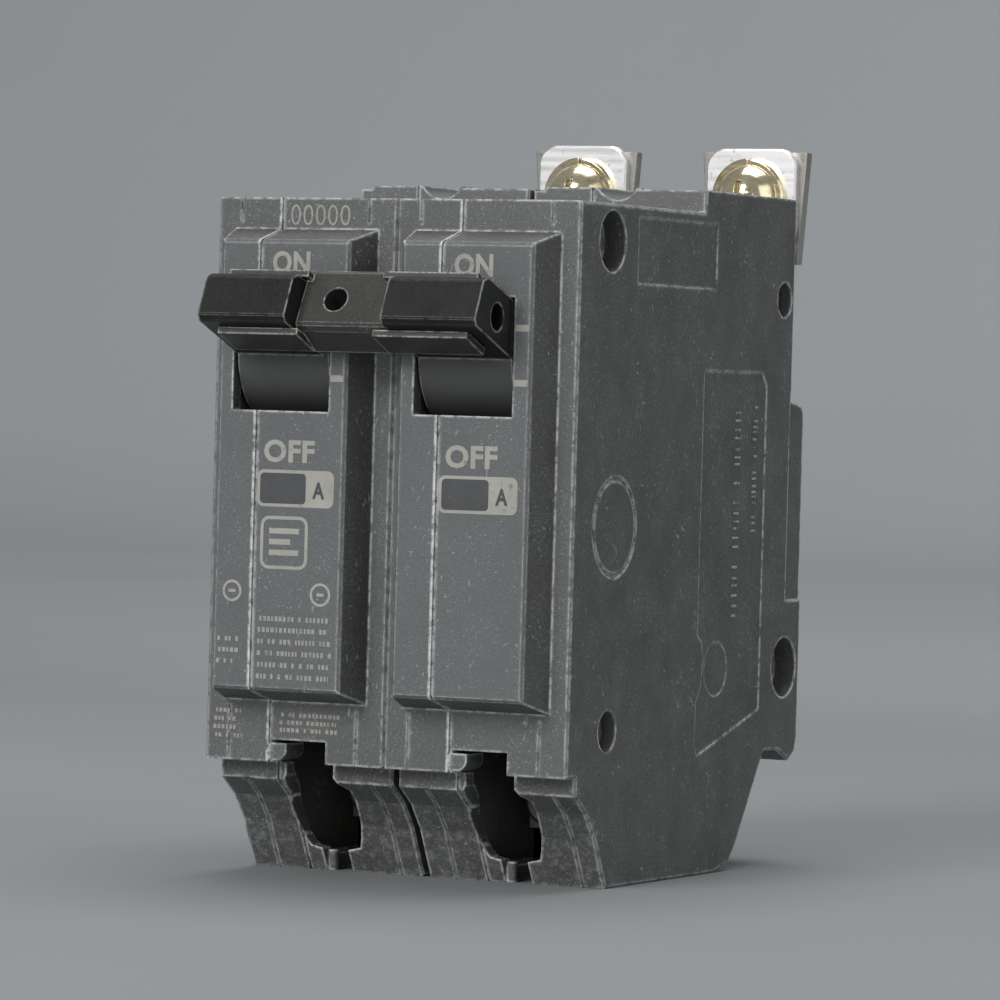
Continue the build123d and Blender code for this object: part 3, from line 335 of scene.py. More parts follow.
@dataclass(frozen=True)
class MouldedPlastic:
    """Dark moulded plastic with speckle, dusty smudges, scratches and worn edges; edges and zones
    can also carry painted highlights, sheen, light and shade.

    Args:
        name: material name.
        base: main colour.
        dusty: colour of the greyed areas.
        worn: colour where edges have rubbed.
        roughness: mean roughness.
        edge: width of the edge band in metres, which shows wear and, on the handle and the tie,
            painted ridge highlights.
        wear: how much of the edges is worn, 0 to 1.
        speckle: strength of the light specks.
        scratched: strength of the scratches.
        grain: bump strength of the moulded grain.
        grit: strength of the fine pale grit.
        chalk_and_glint: colour of the crest of the edge band: chalky wear, and on the handle and
            the tie a painted ridge highlight.
        specular: strength of the reflections.
        zones: boxes where the colour changes.
    """

    name: str
    base: Colour
    dusty: Colour
    worn: Colour
    roughness: float = 0.5
    edge: float = 0.0005
    wear: float = 0.6
    speckle: float = 0.5
    scratched: float = 0.5
    grain: float = 0.35
    grit: float = 0.0
    chalk_and_glint: Colour = (0.62, 0.63, 0.62)
    specular: float = 0.5
    zones: Tuple[Zone, ...] = ()

    def make(self) -> bpy.types.Material:
        """Build the material."""
        g = Graph(self.name)
        marks = self._marks(g)
        colour = g.blend(g.math("MULTIPLY", marks, self.scratched), self._surface(g), self.worn)
        g.link(self._rubbed(g, colour), g.shader.inputs["Base Color"])
        gloss = (self.roughness - 0.09, self.roughness + 0.11)
        rough = g.ramp(g.noise(240.0, 4.0), 0.25, 0.75, *gloss)
        g.link(rough, g.shader.inputs["Roughness"])
        g.link(self._relief(g, marks), g.shader.inputs["Normal"])
        g.shader.inputs["Specular IOR Level"].default_value = self.specular
        return g.material

    def _surface(self, g: Graph) -> Socket:
        """Base colour with smudges, mottle, zones, grit and specks."""
        smudge = g.ramp(g.noise(SMUDGES, 5.0, rough=0.62), 0.35, 0.68)
        patch = g.ramp(g.noise(PATCHES, 4.0), 0.38, 0.7)
        tone = g.math("MULTIPLY", g.math("ADD", smudge, patch), 0.5)
        colour = g.blend(tone, self.base, self.dusty)
        mottle = g.ramp(g.noise(MOTTLE, 3.0), 0.3, 0.7)
        dark = tuple(c * 0.6 for c in self.base)
        colour = g.blend(g.math("MULTIPLY", mottle, 0.45), colour, dark)
        for zone in self.zones:
            colour = g.blend(zone.mask(g), colour, zone.colour)
        fine = g.ramp(g.noise(GRIT, 2.0, rough=0.8), 0.56, 0.68)
        grit = g.math("MULTIPLY", fine, self.grit)
        grit = g.math("MULTIPLY", grit, g.ramp(patch, 0.0, 1.0, 0.45, 1.0))
        colour = g.blend(grit, colour, self.worn)
        specks = g.math("MAXIMUM", g.dots(SMALL_SPECKS, 0.17), g.dots(LARGE_SPECKS, 0.10))
        return g.blend(g.math("MULTIPLY", specks, self.speckle), colour, self.worn)

    def _marks(self, g: Graph) -> Socket:
        """Scratches that lean three ways."""
        steep, leaning = g.scratches(0.25, 0.68, 2600.0), g.scratches(0.95, 0.69, 2100.0)
        crossing = g.scratches(-0.7, 0.69, 3100.0)
        return g.math("MAXIMUM", g.math("MAXIMUM", steep, leaning), crossing)

    def _rubbed(self, g: Graph, colour: Socket) -> Socket:
        """Wear along edges: a broken pale band with a chalky crest; on the handle and the tie they
        are also painted ridge highlights.
        """
        edge = g.edges(self.edge)
        gate = (0.62 - 0.35 * self.wear, 0.74 - 0.2 * self.wear)
        broken = g.ramp(g.noise(WEAR_GAPS, 5.0, rough=0.7), *gate)
        band = g.math("MULTIPLY", edge, broken)
        colour = g.blend(g.math("MULTIPLY", band, 0.7), colour, self.worn)
        gate = (0.66 - 0.26 * self.wear, 0.72 - 0.2 * self.wear)
        nicked = g.ramp(g.noise(CREST_GAPS, 4.0, rough=0.75), *gate)
        crest = g.math("MULTIPLY", g.ramp(edge, 0.28, 0.55), nicked)
        return g.blend(crest, colour, self.chalk_and_glint)

    def _relief(self, g: Graph, marks: Socket) -> Socket:
        """Normal with the moulded grain and the scratches cut in."""
        height = g.math("ADD", g.noise(GRAIN, 3.0), g.math("MULTIPLY", g.noise(SWELL, 2.0), 0.7))
        height = g.math("SUBTRACT", height, g.math("MULTIPLY", marks, 0.8))
        return g.bump(height, self.grain, 0.00006, g.rounded(self.edge * 0.6))


@dataclass(frozen=True)
class PlatedMetal:
    """Plated or plain metal with tarnish, fine brushing and handling marks.

    Args:
        name: material name.
        base: main colour.
        tarnish: colour of the duller areas.
        roughness: mean roughness.
        brushed: direction along which the fine lines run.
        dull: how much of the surface is tarnished, 0 to 1.
        brush_depth: bump strength of the brushing.
        thread_from: depth in metres behind which a thread runs; FAR for none.
        thread_pitch: pitch of that thread in metres.
    """

    name: str
    base: Colour
    tarnish: Colour
    roughness: float = 0.25
    brushed: Axis = Axis.Z
    dull: float = 0.4
    brush_depth: float = 0.12
    thread_from: float = FAR
    thread_pitch: float = 0.0008

    def make(self) -> bpy.types.Material:
        """Build the material."""
        g = Graph(self.name)
        scale = [BRUSH_ACROSS] * 3
        scale[self.brushed.value] = BRUSH_ALONG
        lines = g.noise(1.0, 3.0, g.mapped(scale))
        gate = (0.62 - 0.3 * self.dull, 0.8 - 0.2 * self.dull)
        cloud = g.ramp(g.noise(210.0, 5.0, rough=0.65), *gate)
        colour = g.blend(g.math("MULTIPLY", cloud, 0.8), self.base, self.tarnish)
        spots = g.ramp(g.noise(1300.0, 2.0), 0.66, 0.74)
        dark = tuple(c * 0.45 for c in self.tarnish)
        colour = g.blend(g.math("MULTIPLY", spots, 0.55), colour, dark)
        g.link(colour, g.shader.inputs["Base Color"])
        rough = g.ramp(lines, 0.3, 0.7, self.roughness - 0.06, self.roughness + 0.1)
        rough = g.math("ADD", rough, g.math("MULTIPLY", cloud, 0.14), True)
        g.link(rough, g.shader.inputs["Roughness"])
        g.shader.inputs["Metallic"].default_value = 1.0
        height = g.math("ADD", lines, g.math("MULTIPLY", g.noise(700.0, 2.0), 0.5))
        normal = g.bump(height, self.brush_depth, 0.00004, g.rounded(0.00018))
        if self.thread_from < FAR:
            normal = self._thread(g, normal)
        g.link(normal, g.shader.inputs["Normal"])
        return g.material

    def _thread(self, g: Graph, normal: Socket) -> Socket:
        """Thread ridges round Y, behind a given depth."""
        split = g.node("ShaderNodeSeparateXYZ")
        g.link(g.coords, split.inputs[0])
        turns = g.math("DIVIDE", split.outputs[1], self.thread_pitch)
        wave = g.math("PINGPONG", turns, 0.5)
        start = g.ramp(split.outputs[1], self.thread_from, self.thread_from + 0.0002)
        ridges = g.math("MULTIPLY", wave, start)
        return g.bump(ridges, 1.0, 0.0009, normal)


@dataclass(frozen=True)
class PrintedInk:
    """Pale pad-printed ink, thin and rubbed in places.

    Args:
        name: material name.
        ink: colour of sound ink.
        under: colour showing through where it is rubbed.
        rubbed: share of the ink that is rubbed, 0 to 1.
    """

    name: str
    ink: Colour
    under: Colour
    rubbed: float = 0.3

    def make(self) -> bpy.types.Material:
        """Build the material."""
        g = Graph(self.name)
        gate = (0.66 - 0.2 * self.rubbed, 0.74 - 0.1 * self.rubbed)
        holes = g.ramp(g.noise(900.0, 4.0, rough=0.7), *gate)
        tint = g.ramp(g.noise(220.0, 3.0), 0.3, 0.7)
        colour = g.blend(tint, self.ink, tuple(c * 0.8 for c in self.ink))
        colour = g.blend(g.math("MULTIPLY", holes, 0.85), colour, self.under)
        g.link(colour, g.shader.inputs["Base Color"])
        g.link(g.ramp(g.noise(600.0, 2.0), 0.3, 0.7, 0.5, 0.7), g.shader.inputs["Roughness"])
        g.link(g.bump(holes, 0.2, 0.00002), g.shader.inputs["Normal"])
        return g.material


SEAM_CHALK: Colour = (0.72, 0.73, 0.72)
SEAMS = (-0.01618, 0.00922)
PANEL_BACK = -0.0412
SHOULDER_BACK = -0.0350
# Painted light: pale colour for the top faces and the rear step.
TOP_PAINTED_LIGHT: Colour = (0.19, 0.196, 0.192)


def seam_zone(x: float, broken: float) -> Zone:
    """Chalky line on the left lip of a seam."""
    low, high = (x - 0.0005, -FAR, 0.014), (x - 0.0001, -0.0335, FAR)
    return Zone(low, high, SEAM_CHALK, 0.85, 0.0001, None, broken)


def painted_top_light_zone(facing: Axis) -> Zone:
    """Painted light: the rear step and the top faces are painted paler, where the light falls on
    them.
    """
    low, high = (-FAR, SHOULDER_BACK, 0.0847), (FAR, FAR, FAR)
    return Zone(low, high, TOP_PAINTED_LIGHT, 0.6, facing=facing)


# Painted sheen: the raised panel faces are painted lighter than the shoulders.
RAISED_PANEL_SHEEN = Zone((-FAR, -FAR, -FAR), (FAR, PANEL_BACK, FAR), (0.160, 0.170, 0.176), 0.62)
SHOULDERS = Zone(
    (-FAR, -0.0365, 0.012), (FAR, SHOULDER_BACK, FAR), (0.155, 0.162, 0.162), 0.5, facing=Axis.Y,
)
LOWER_FRONT = Zone(
    (-FAR, SHOULDER_BACK, -FAR), (FAR, -0.0200, 0.0125), (0.34, 0.35, 0.345),
    0.35, 0.0006, Axis.Y, 0.6,
)
HOUSING = MouldedPlastic(
    "housing_moulding", (0.083, 0.085, 0.079), (0.124, 0.129, 0.124), (0.46, 0.47, 0.46),
    roughness=0.50, edge=0.0006, wear=0.92, speckle=0.62, scratched=0.66, grain=0.8, grit=0.5,
    chalk_and_glint=(0.95, 0.96, 0.95),
    zones=(
        RAISED_PANEL_SHEEN, SHOULDERS, painted_top_light_zone(Axis.Y), painted_top_light_zone(Axis.Z), LOWER_FRONT,
        seam_zone(SEAMS[0], 0.35), seam_zone(SEAMS[1], 0.20),
    ),
)
DRUM_FRONT = -0.0414
HANDLE = MouldedPlastic(
    "handle_moulding", (0.012, 0.013, 0.012), (0.021, 0.022, 0.020), (0.16, 0.16, 0.145),
    roughness=0.36, edge=0.00042, wear=1.0, speckle=0.12, scratched=0.12, grain=0.35, grit=0.1,
    # Painted highlight: the pale edge band and crest here stand for ridge highlights as well as
    # wear.
    chalk_and_glint=(0.55, 0.55, 0.50), specular=0.25,
    zones=(
        # Painted sheen on the drum face, and painted shade darkening its lower part below 61.2 mm.
        Zone((-FAR, DRUM_FRONT, -FAR), (FAR, FAR, FAR), (0.115, 0.120, 0.115), 0.8),
        Zone((-FAR, DRUM_FRONT, -FAR), (FAR, FAR, 0.0612), (0.042, 0.044, 0.042), 0.75, 0.0018),
    ),
)
TIE = MouldedPlastic(
    "tie_moulding", (0.034, 0.036, 0.032), (0.056, 0.058, 0.053), (0.28, 0.28, 0.25),
    roughness=0.40, edge=0.0004, wear=1.0, speckle=0.2, scratched=0.2, grain=0.45, grit=0.25,
    # Painted highlight: the pale edge band and crest here stand for ridge highlights as well as
    # wear.
    chalk_and_glint=(0.78, 0.77, 0.70), specular=0.45,
)
TRIP = MouldedPlastic("trip_moulding", (0.09, 0.08, 0.07), (0.13, 0.12, 0.1), (0.4, 0.4, 0.38))
FIBRE = MouldedPlastic(
    "fibre_sheet", (0.30, 0.10, 0.07), (0.4, 0.16, 0.11), (0.6, 0.4, 0.32), roughness=0.7,
)
TIN = PlatedMetal("tinned_strap", (0.46, 0.45, 0.41), (0.30, 0.285, 0.245), 0.34, Axis.Z, 0.4)
WASHER = PlatedMetal("plated_washer", (0.95, 0.94, 0.94), (0.78, 0.76, 0.76), 0.38, Axis.X, 0.25)
ZINC_YELLOW = PlatedMetal(
    "yellow_zinc", (0.92, 0.82, 0.57), (0.40, 0.29, 0.12), 0.13, Axis.X, 0.5, thread_from=0.0451,
)
STEEL = PlatedMetal("zinc_steel", (0.62, 0.62, 0.62), (0.34, 0.34, 0.33), 0.34, Axis.X, 0.5)
DARK_STEEL = PlatedMetal("dull_steel", (0.20, 0.20, 0.20), (0.09, 0.08, 0.07), 0.48, Axis.X, 0.6)
DULL_COPPER = PlatedMetal("dull_copper", (0.16, 0.10, 0.075), (0.07, 0.05, 0.04), 0.5, Axis.Y, 0.7)
COPPER = PlatedMetal("copper", (0.80, 0.42, 0.28), (0.40, 0.20, 0.14), 0.32, Axis.Y, 0.5)
SILVER = PlatedMetal("silver_contact", (0.88, 0.87, 0.84), (0.5, 0.49, 0.46), 0.3, Axis.X, 0.4)
INK = PrintedInk("pale_ink", (0.47, 0.46, 0.41), (0.17, 0.18, 0.18), 0.35)
INK_FINE = PrintedInk("fine_ink", (0.44, 0.43, 0.39), (0.18, 0.18, 0.18), 0.5)
INK_DARK = PrintedInk("panel_ink", (0.085, 0.09, 0.095), (0.14, 0.14, 0.15), 0.2)


class Finishes:
    """Makes each finish once and hands it out."""

    def __init__(self) -> None:
        """Start with nothing made."""
        self._made: Dict[str, bpy.types.Material] = {}

    def get(self, finish: object) -> bpy.types.Material:
        """Material of a finish, made on first use."""
        if finish.name not in self._made:
            self._made[finish.name] = finish.make()
        return self._made[finish.name]


# ---------------------------------------------------------------- mesh helpers


def place(pole: Pole, x: float, y: float, z: float) -> Vector:
    """Point given in a pole's millimetres, in frame metres."""
    return Vector(((x + pole.shift) * MM, (y - FRAME_DEPTH) * MM, z * MM))


def to_object(
    name: str, bm: bmesh.types.BMesh, material: bpy.types.Material, smooth: bool = False
) -> bpy.types.Object:
    """Turn a bmesh into a linked object at the origin.

    Args:
        name: piece name.
        bm: mesh, already in frame metres; it is freed.
        material: finish of the whole piece.
        smooth: shade the faces smooth.

    Returns:
        The new object.
    """
    bmesh.ops.remove_doubles(bm, verts=bm.verts, dist=1e-7)
    bmesh.ops.recalc_face_normals(bm, faces=bm.faces)
    for face in bm.faces:
        face.smooth = smooth
    mesh = bpy.data.meshes.new(name)
    bm.to_mesh(mesh)
    bm.free()
    mesh.materials.append(material)
    made = bpy.data.objects.new(name, mesh)
    bpy.context.scene.collection.objects.link(made)
    return made


def add_bar(bm: bmesh.types.BMesh, low: Vector, high: Vector) -> None:
    """Add a box between two corners."""
    made = bmesh.ops.create_cube(bm, size=1.0)["verts"]
    size = high - low
    bmesh.ops.scale(bm, vec=size, verts=made)
    bmesh.ops.translate(bm, vec=(low + high) / 2, verts=made)


def thicken(bm: bmesh.types.BMesh, faces: List[bmesh.types.BMFace], step: Vector) -> None:
    """Extrude faces by a vector."""
    grown = bmesh.ops.extrude_face_region(bm, geom=faces)
    moved = [v for v in grown["geom"] if isinstance(v, bmesh.types.BMVert)]
    bmesh.ops.translate(bm, vec=step, verts=moved)


def facing_front(centre: Vector) -> Matrix:
    """Transform that stands a flat shape upright, facing -Y, at a point."""
    return Matrix.Translation(centre) @ Matrix.Rotation(math.pi / 2, 4, "X")


def add_ring(
    bm: bmesh.types.BMesh, centre: Vector, outer: float, inner: float, depth: float
) -> None:
    """Add a flat ring that faces -Y.

    Args:
        bm: target mesh.
        centre: centre of the ring's back face.
        outer: outer radius in metres.
        inner: inner radius in metres.
        depth: thickness towards -Y in metres.
    """
    ring = []
    for radius in (outer, inner):
        ring += bmesh.ops.create_circle(bm, radius=radius, segments=RING_STEPS)["verts"]
    bmesh.ops.bridge_loops(bm, edges=[e for e in bm.edges if e.is_wire])
    faces = list({f for v in ring for f in v.link_faces})
    bmesh.ops.transform(bm, matrix=facing_front(centre), verts=ring)
    thicken(bm, faces, Vector((0, -depth, 0)))


def add_plate(bm: bmesh.types.BMesh, low: Vector, high: Vector, radius: float) -> None:
    """Add a thin plate facing -Y with rounded corners.

    Args:
        bm: target mesh.
        low: lowest corner.
        high: highest corner.
        radius: corner radius in metres.
    """
    before = set(bm.verts)
    add_bar(bm, low, high)
    verts = [v for v in bm.verts if v not in before]
    edges = {e for v in verts for e in v.link_edges}
    half = (high.y - low.y) / 2
    corners = [e for e in edges if abs((e.verts[0].co - e.verts[1].co).y) > half]
    bmesh.ops.bevel(
        bm, geom=corners, offset=radius, affect="EDGES", segments=6, profile=0.5, material=-1
    )


def add_frame(
    bm: bmesh.types.BMesh, low: Vector, high: Vector, radius: float, band: float
) -> None:
    """Add a rounded rectangular frame facing -Y.

    Args:
        bm: target mesh.
        low: lowest corner.
        high: highest corner.
        radius: outer corner radius in metres.
        band: width of the frame in metres.
    """
    before = set(bm.faces)
    add_plate(bm, low, high, radius)
    fresh = [f for f in bm.faces if f not in before]
    caps = [f for f in fresh if abs(f.normal.y) > 0.9]
    bmesh.ops.inset_individual(bm, faces=caps, thickness=band)
    loops = [e for f in caps for e in f.edges]
    bmesh.ops.delete(bm, geom=caps, context="FACES_ONLY")
    bmesh.ops.bridge_loops(bm, edges=list(set(loops)))


def text_object(
    name: str, words: str, size: Span, centre: Vector, depth: float,
    material: bpy.types.Material, weight: float,
) -> bpy.types.Object:
    """Flat lettering that faces -Y, sized to a box and made a mesh.

    Args:
        name: piece name.
        words: characters to draw.
        size: overall width and height in metres.
        centre: middle of the lettering's back.
        depth: thickness in metres.
        material: ink.
        weight: growth of the outline, in letter heights before scaling.

    Returns:
        The mesh object at the origin.
    """
    curve = bpy.data.curves.new(name, "FONT")
    curve.body = words
    curve.size = 1.0
    curve.offset = weight
    curve.resolution_u = 3
    curve.space_character = 1.05
    holder = bpy.data.objects.new(name + "_curve", curve)
    bpy.context.scene.collection.objects.link(holder)
    bpy.context.view_layer.update()
    mesh = bpy.data.meshes.new_from_object(holder)
    bpy.data.objects.remove(holder)
    bm = bmesh.new()
    bm.from_mesh(mesh)
    bpy.data.meshes.remove(mesh)
    bmesh.ops.remove_doubles(bm, verts=bm.verts, dist=1e-5)
    xs = [v.co.x for v in bm.verts]
    ys = [v.co.y for v in bm.verts]
    middle = Vector(((min(xs) + max(xs)) / 2, (min(ys) + max(ys)) / 2, 0))
    bmesh.ops.translate(bm, vec=-middle, verts=bm.verts)
    scale = Vector((size[0] / (max(xs) - min(xs)), size[1] / (max(ys) - min(ys)), 1.0))
    bmesh.ops.scale(bm, vec=scale, verts=bm.verts)
    thicken(bm, list(bm.faces), Vector((0, 0, depth)))
    bmesh.ops.transform(bm, matrix=facing_front(centre), verts=bm.verts)
    return to_object(name, bm, material)


def fix_to_housing(piece: bpy.types.Object) -> None:
    """Carry a printed or raised piece with the housing."""
    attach(piece, "housing")
    LOG.info("added %s", piece.name)


# ---------------------------------------------------------------- sub-assemblies


@dataclass
class Dresser:
    """Gives CAD nodes their finishes.

    Args:
        nodes: CAD objects by node name.
        finishes: finish store.
    """

    nodes: Dict[str, bpy.types.Object]
    finishes: Finishes

    def dress(self, names: Sequence[str], finish: object) -> None:
        """Put one finish on several CAD nodes."""
        material = self.finishes.get(finish)
        for name in names:
            mesh = self.nodes[name].data
            if not mesh.materials:
                mesh.materials.append(material)
            for k in range(len(mesh.materials)):
                mesh.materials[k] = material
            LOG.info("dressed %s with %s", name, finish.name)

    def per_pole(self, stem: str, finish: object) -> None:
        """Put one finish on the same node of both poles."""
        self.dress([f"{stem}_{pole.tag}" for pole in Pole], finish)


@dataclass
class Housing:
    """The four shells and the rivets that hold them."""

    dresser: Dresser

    def dress(self) -> None:
        """Finish the shells and rivets."""
        self.dresser.per_pole("cover", HOUSING)
        self.dresser.per_pole("case", HOUSING)
        self.dresser.dress(["rivets"], STEEL)


@dataclass
class Toggle:
    """The two handles, their tie and its pins."""

    dresser: Dresser

    def dress(self) -> None:
        """Finish the handles and the tie."""
        self.dresser.per_pole("handle", HANDLE)
        self.dresser.dress(["tie_bar"], TIE)
        self.dresser.dress(["tie_pins", "arm_pins"], DARK_STEEL)


@dataclass
class LineTerminals:
    """Bolt-on tabs, square washers and domed screws."""

    dresser: Dresser

    def dress(self) -> None:
        """Finish the line end's metal."""
        self.dresser.per_pole("line_strap", TIN)
        self.dresser.per_pole("line_screw", ZINC_YELLOW)
        self.dresser.per_pole("lock_washer", ZINC_YELLOW)
        self.dresser.dress(["square_washers"], WASHER)


@dataclass
class LoadTerminals:
    """Clamp screws, pressure plates and load straps."""

    dresser: Dresser

    def dress(self) -> None:
        """Finish the load end's metal."""
        self.dresser.per_pole("load_screw", DARK_STEEL)
        self.dresser.per_pole("clamp_plate", DARK_STEEL)
        self.dresser.per_pole("load_strap", DULL_COPPER)
        self.dresser.dress(["calibration_screws"], DARK_STEEL)


@dataclass
class Mechanism:
    """Everything sealed inside: contacts, trip unit and arc chute."""

    dresser: Dresser

    def dress(self) -> None:
        """Finish the inner pieces."""
        plan = {
            "contact_arm": COPPER, "braid": COPPER,
            "moving_contact": SILVER, "fixed_contact": SILVER,
            "bimetal": STEEL, "magnet_yoke": DARK_STEEL, "armature": DARK_STEEL, "cradle": STEEL,
            "toggle_spring": STEEL, "arc_plates": STEEL, "arc_frame": FIBRE,
        }
        for stem, finish in plan.items():
            self.dresser.per_pole(stem, finish)
        self.dresser.dress(["trip_bar"], TRIP)


@dataclass
class Markings:
    """Pad-printed marks on the front, all generic. Places are in pole millimetres.

    Args:
        finishes: finish store.
        panel_y: depth of the raised panel's face.
        shoulder_y: depth of the shoulder face.
        depth: thickness of the ink.
        sunk: how far the ink's back stands inside the face.
        word_weight: growth of the words' outline.
        stamp_weight: growth of the stamp's outline.
        dash: shortest and longest dash of small print.
        gaps: gaps between the dashes, to draw from.
        seed: start of the random draws.
    """

    finishes: Finishes
    panel_y: float = -5.4
    shoulder_y: float = 0.0
    depth: float = 0.02
    sunk: float = 0.01
    word_weight: float = 0.034
    stamp_weight: float = -0.012
    dash: Span = (0.22, 0.46)
    gaps: Sequence[float] = (0.2, 0.2, 0.26, 0.7)
    seed: int = 11

    def _box(
        self, pole: Pole, x: Span, z: Span, face: float, out: float, back: float
    ) -> Tuple[Vector, Vector]:
        """Corners of a thin box on a front face.

        Args:
            pole: pole that carries it.
            x: left and right edge.
            z: lower and upper edge.
            face: depth of the face.
            out: how far its front stands out of the face.
            back: how far its back stands out of the face.

        Returns:
            The lowest and the highest corner, in metres.
        """
        return place(pole, x[0], face - out, z[0]), place(pole, x[1], face - back, z[1])

    def _ink_box(self, pole: Pole, x: Span, z: Span, face: float) -> Tuple[Vector, Vector]:
        """Corners of a box of ink of the usual thickness."""
        return self._box(pole, x, z, face, self.depth, -self.sunk)

    def _finish(self, name: str, pole: Pole, bm: bmesh.types.BMesh, ink: PrintedInk) -> None:
        """Turn a mesh of ink into a piece on the housing."""
        fix_to_housing(to_object(f"print_{name}_{pole.tag}", bm, self.finishes.get(ink)))

    def _words(
        self, pole: Pole, words: str, x: Span, z: Span, lift: float, ink: PrintedInk
    ) -> None:
        """One printed word.

        Args:
            pole: pole that carries it.
            words: the letters.
            x: left and right edge.
            z: lower and upper edge.
            lift: how far its back stands out of the panel.
            ink: its finish.
        """
        centre = place(pole, (x[0] + x[1]) / 2, self.panel_y - lift, (z[0] + z[1]) / 2)
        size = ((x[1] - x[0]) * MM, (z[1] - z[0]) * MM)
        fix_to_housing(text_object(
            f"print_{words.lower()}_{pole.tag}", words, size, centre,
            self.depth * MM, self.finishes.get(ink), self.word_weight,
        ))

    def _rows(
        self, name: str, pole: Pole, x: Span, rows: Sequence[float], face: float, height: float
    ) -> None:
        """Rows of short dashes that stand in for small print.

        Args:
            name: middle of the piece's name.
            pole: pole that carries them.
            x: left edge and furthest right edge.
            rows: heights of the rows' middles.
            face: depth of the face.
            height: height of a dash.
        """
        rng = random.Random(self.seed + len(name) * 7 + pole.value)
        bm = bmesh.new()
        for z in rows:
            at = x[0] + rng.uniform(0.0, 0.4)
            end = x[1] - rng.uniform(0.0, (x[1] - x[0]) * 0.25)
            while at < end:
                long = rng.uniform(*self.dash)
                span = (at, min(at + long, end))
                add_bar(bm, *self._ink_box(pole, span, (z - height / 2, z + height / 2), face))
                at += long + rng.choice(self.gaps)
        self._finish(name, pole, bm, INK_FINE)

    def _rating_box(self, pole: Pole) -> None:
        """Rounded rating box with a dark window and a unit letter."""
        bm = bmesh.new()
        add_plate(bm, *self._ink_box(pole, (9.5, 20.35), (46.35, 50.95), self.panel_y), 0.9 * MM)
        self._finish("box", pole, bm, INK)
        bm = bmesh.new()
        corners = self._box(
            pole, (9.95, 16.4), (46.75, 50.55), self.panel_y, self.depth * 2, self.depth / 2
        )
        add_plate(bm, *corners, 0.55 * MM)
        self._finish("window", pole, bm, INK_DARK)
        self._words(pole, "A", (17.35, 19.05), (47.45, 49.55), self.depth, INK_DARK)

    def _ticks(self, pole: Pole) -> None:
        """Handle position ticks beside the window."""
        bm = bmesh.new()
        for z in (62.05, 68.75):
            add_bar(bm, *self._ink_box(pole, (19.45, 21.3), (z, z + 0.8), self.panel_y))
        self._finish("ticks", pole, bm, INK)

    def _emblem(self, pole: Pole) -> None:
        """Plain emblem: a rounded frame round three bars, and two ringed bars below."""
        bm = bmesh.new()
        for z, right in ((40.3, 15.6), (41.65, 14.4), (43.0, 15.6)):
            add_bar(bm, *self._ink_box(pole, (11.4, right), (z, z + 0.7), self.panel_y))
        for x, z, radius in ((6.3, 35.7, 1.35), (18.8, 35.6, 1.45)):
            centre = place(pole, x, self.panel_y + self.sunk, z)
            add_ring(bm, centre, radius * MM, (radius - 0.32) * MM, (self.depth + self.sunk) * MM)
            span = (x - 0.5, x + 0.5)
            add_bar(bm, *self._ink_box(pole, span, (z - 0.18, z + 0.18), self.panel_y))
        corners = self._ink_box(pole, (10.15, 16.85), (38.6, 45.2), self.panel_y)
        add_frame(bm, *corners, 1.2 * MM, 0.42 * MM)
        self._finish("emblem", pole, bm, INK)

    def _stamp(self, pole: Pole) -> None:
        """Row of plain zeros where a date stamp sits on the upper shoulder."""
        fix_to_housing(text_object(
            f"print_stamp_{pole.tag}", "00000", (8.4 * MM, 2.6 * MM),
            place(pole, 14.55, self.shoulder_y, 82.85), self.depth * MM,
            self.finishes.get(INK_FINE), self.stamp_weight,
        ))

    def build(self) -> None:
        """Print everything: the handle marks on both poles, the rest on the left one."""
        for pole in Pole:
            self._words(pole, "ON", (10.9, 16.2), (75.3, 78.15), 0.0, INK)
            self._words(pole, "OFF", (10.35, 17.5), (51.85, 54.7), 0.0, INK)
            self._rating_box(pole)
            self._ticks(pole)
        left, panel, shoulder = Pole.LEFT, self.panel_y, self.shoulder_y
        self._emblem(left)
        self._rows("lines", left, (9.95, 21.1), (32.4, 31.0, 29.55, 28.1, 26.65, 25.2), panel, 0.6)
        self._rows("side_lines", left, (4.2, 7.8), (29.7, 28.3, 26.9), panel, 0.55)
        self._rows("foot_left", left, (1.1, 5.6), (20.4, 19.35, 18.3, 17.25), shoulder, 0.5)
        self._rows("foot_right", left, (10.6, 21.0), (20.2, 19.25, 18.3), shoulder, 0.5)
        self._stamp(left)


@dataclass
class SideRelief:
    """Raised bars inside the label recess on the outer side of the right pole.

    Args:
        finishes: finish store.
        proud: how far the bars stand out of the recess, in millimetres.
        base_x: floor of the recess, in pole millimetres.
        sunk: how far the bars' backs stand inside the floor.
        bar: height of a bar.
        gap: extra gap that now and then parts two bars.
        columns: middle along Y, lower end, upper end and width of each column.
        seed: start of the random draws.
    """

    finishes: Finishes
    proud: float = 0.13
    base_x: float = 25.25
    sunk: float = 0.05
    bar: float = 0.32
    gap: float = 1.2
    columns: Tuple[Tuple[float, float, float, float], ...] = (
        (48.2, 33.0, 59.5, 1.7), (53.6, 44.0, 60.5, 1.2),
    )
    seed: int = 5

    def build(self) -> None:
        """Two columns of plain raised bars."""
        rng = random.Random(self.seed)
        bm = bmesh.new()
        for y, z, end, width in self.columns:
            while z < end:
                step = rng.uniform(0.75, 1.25) * width * 0.7
                low = place(Pole.RIGHT, self.base_x - self.sunk, y - width / 2, z)
                high = place(Pole.RIGHT, self.base_x + self.proud, y + width / 2, z + self.bar)
                add_bar(bm, low, high)
                z += step + (self.gap if rng.random() < 0.15 else 0.0)
        fix_to_housing(to_object("side_relief", bm, self.finishes.get(HOUSING)))


# ---------------------------------------------------------------- studio


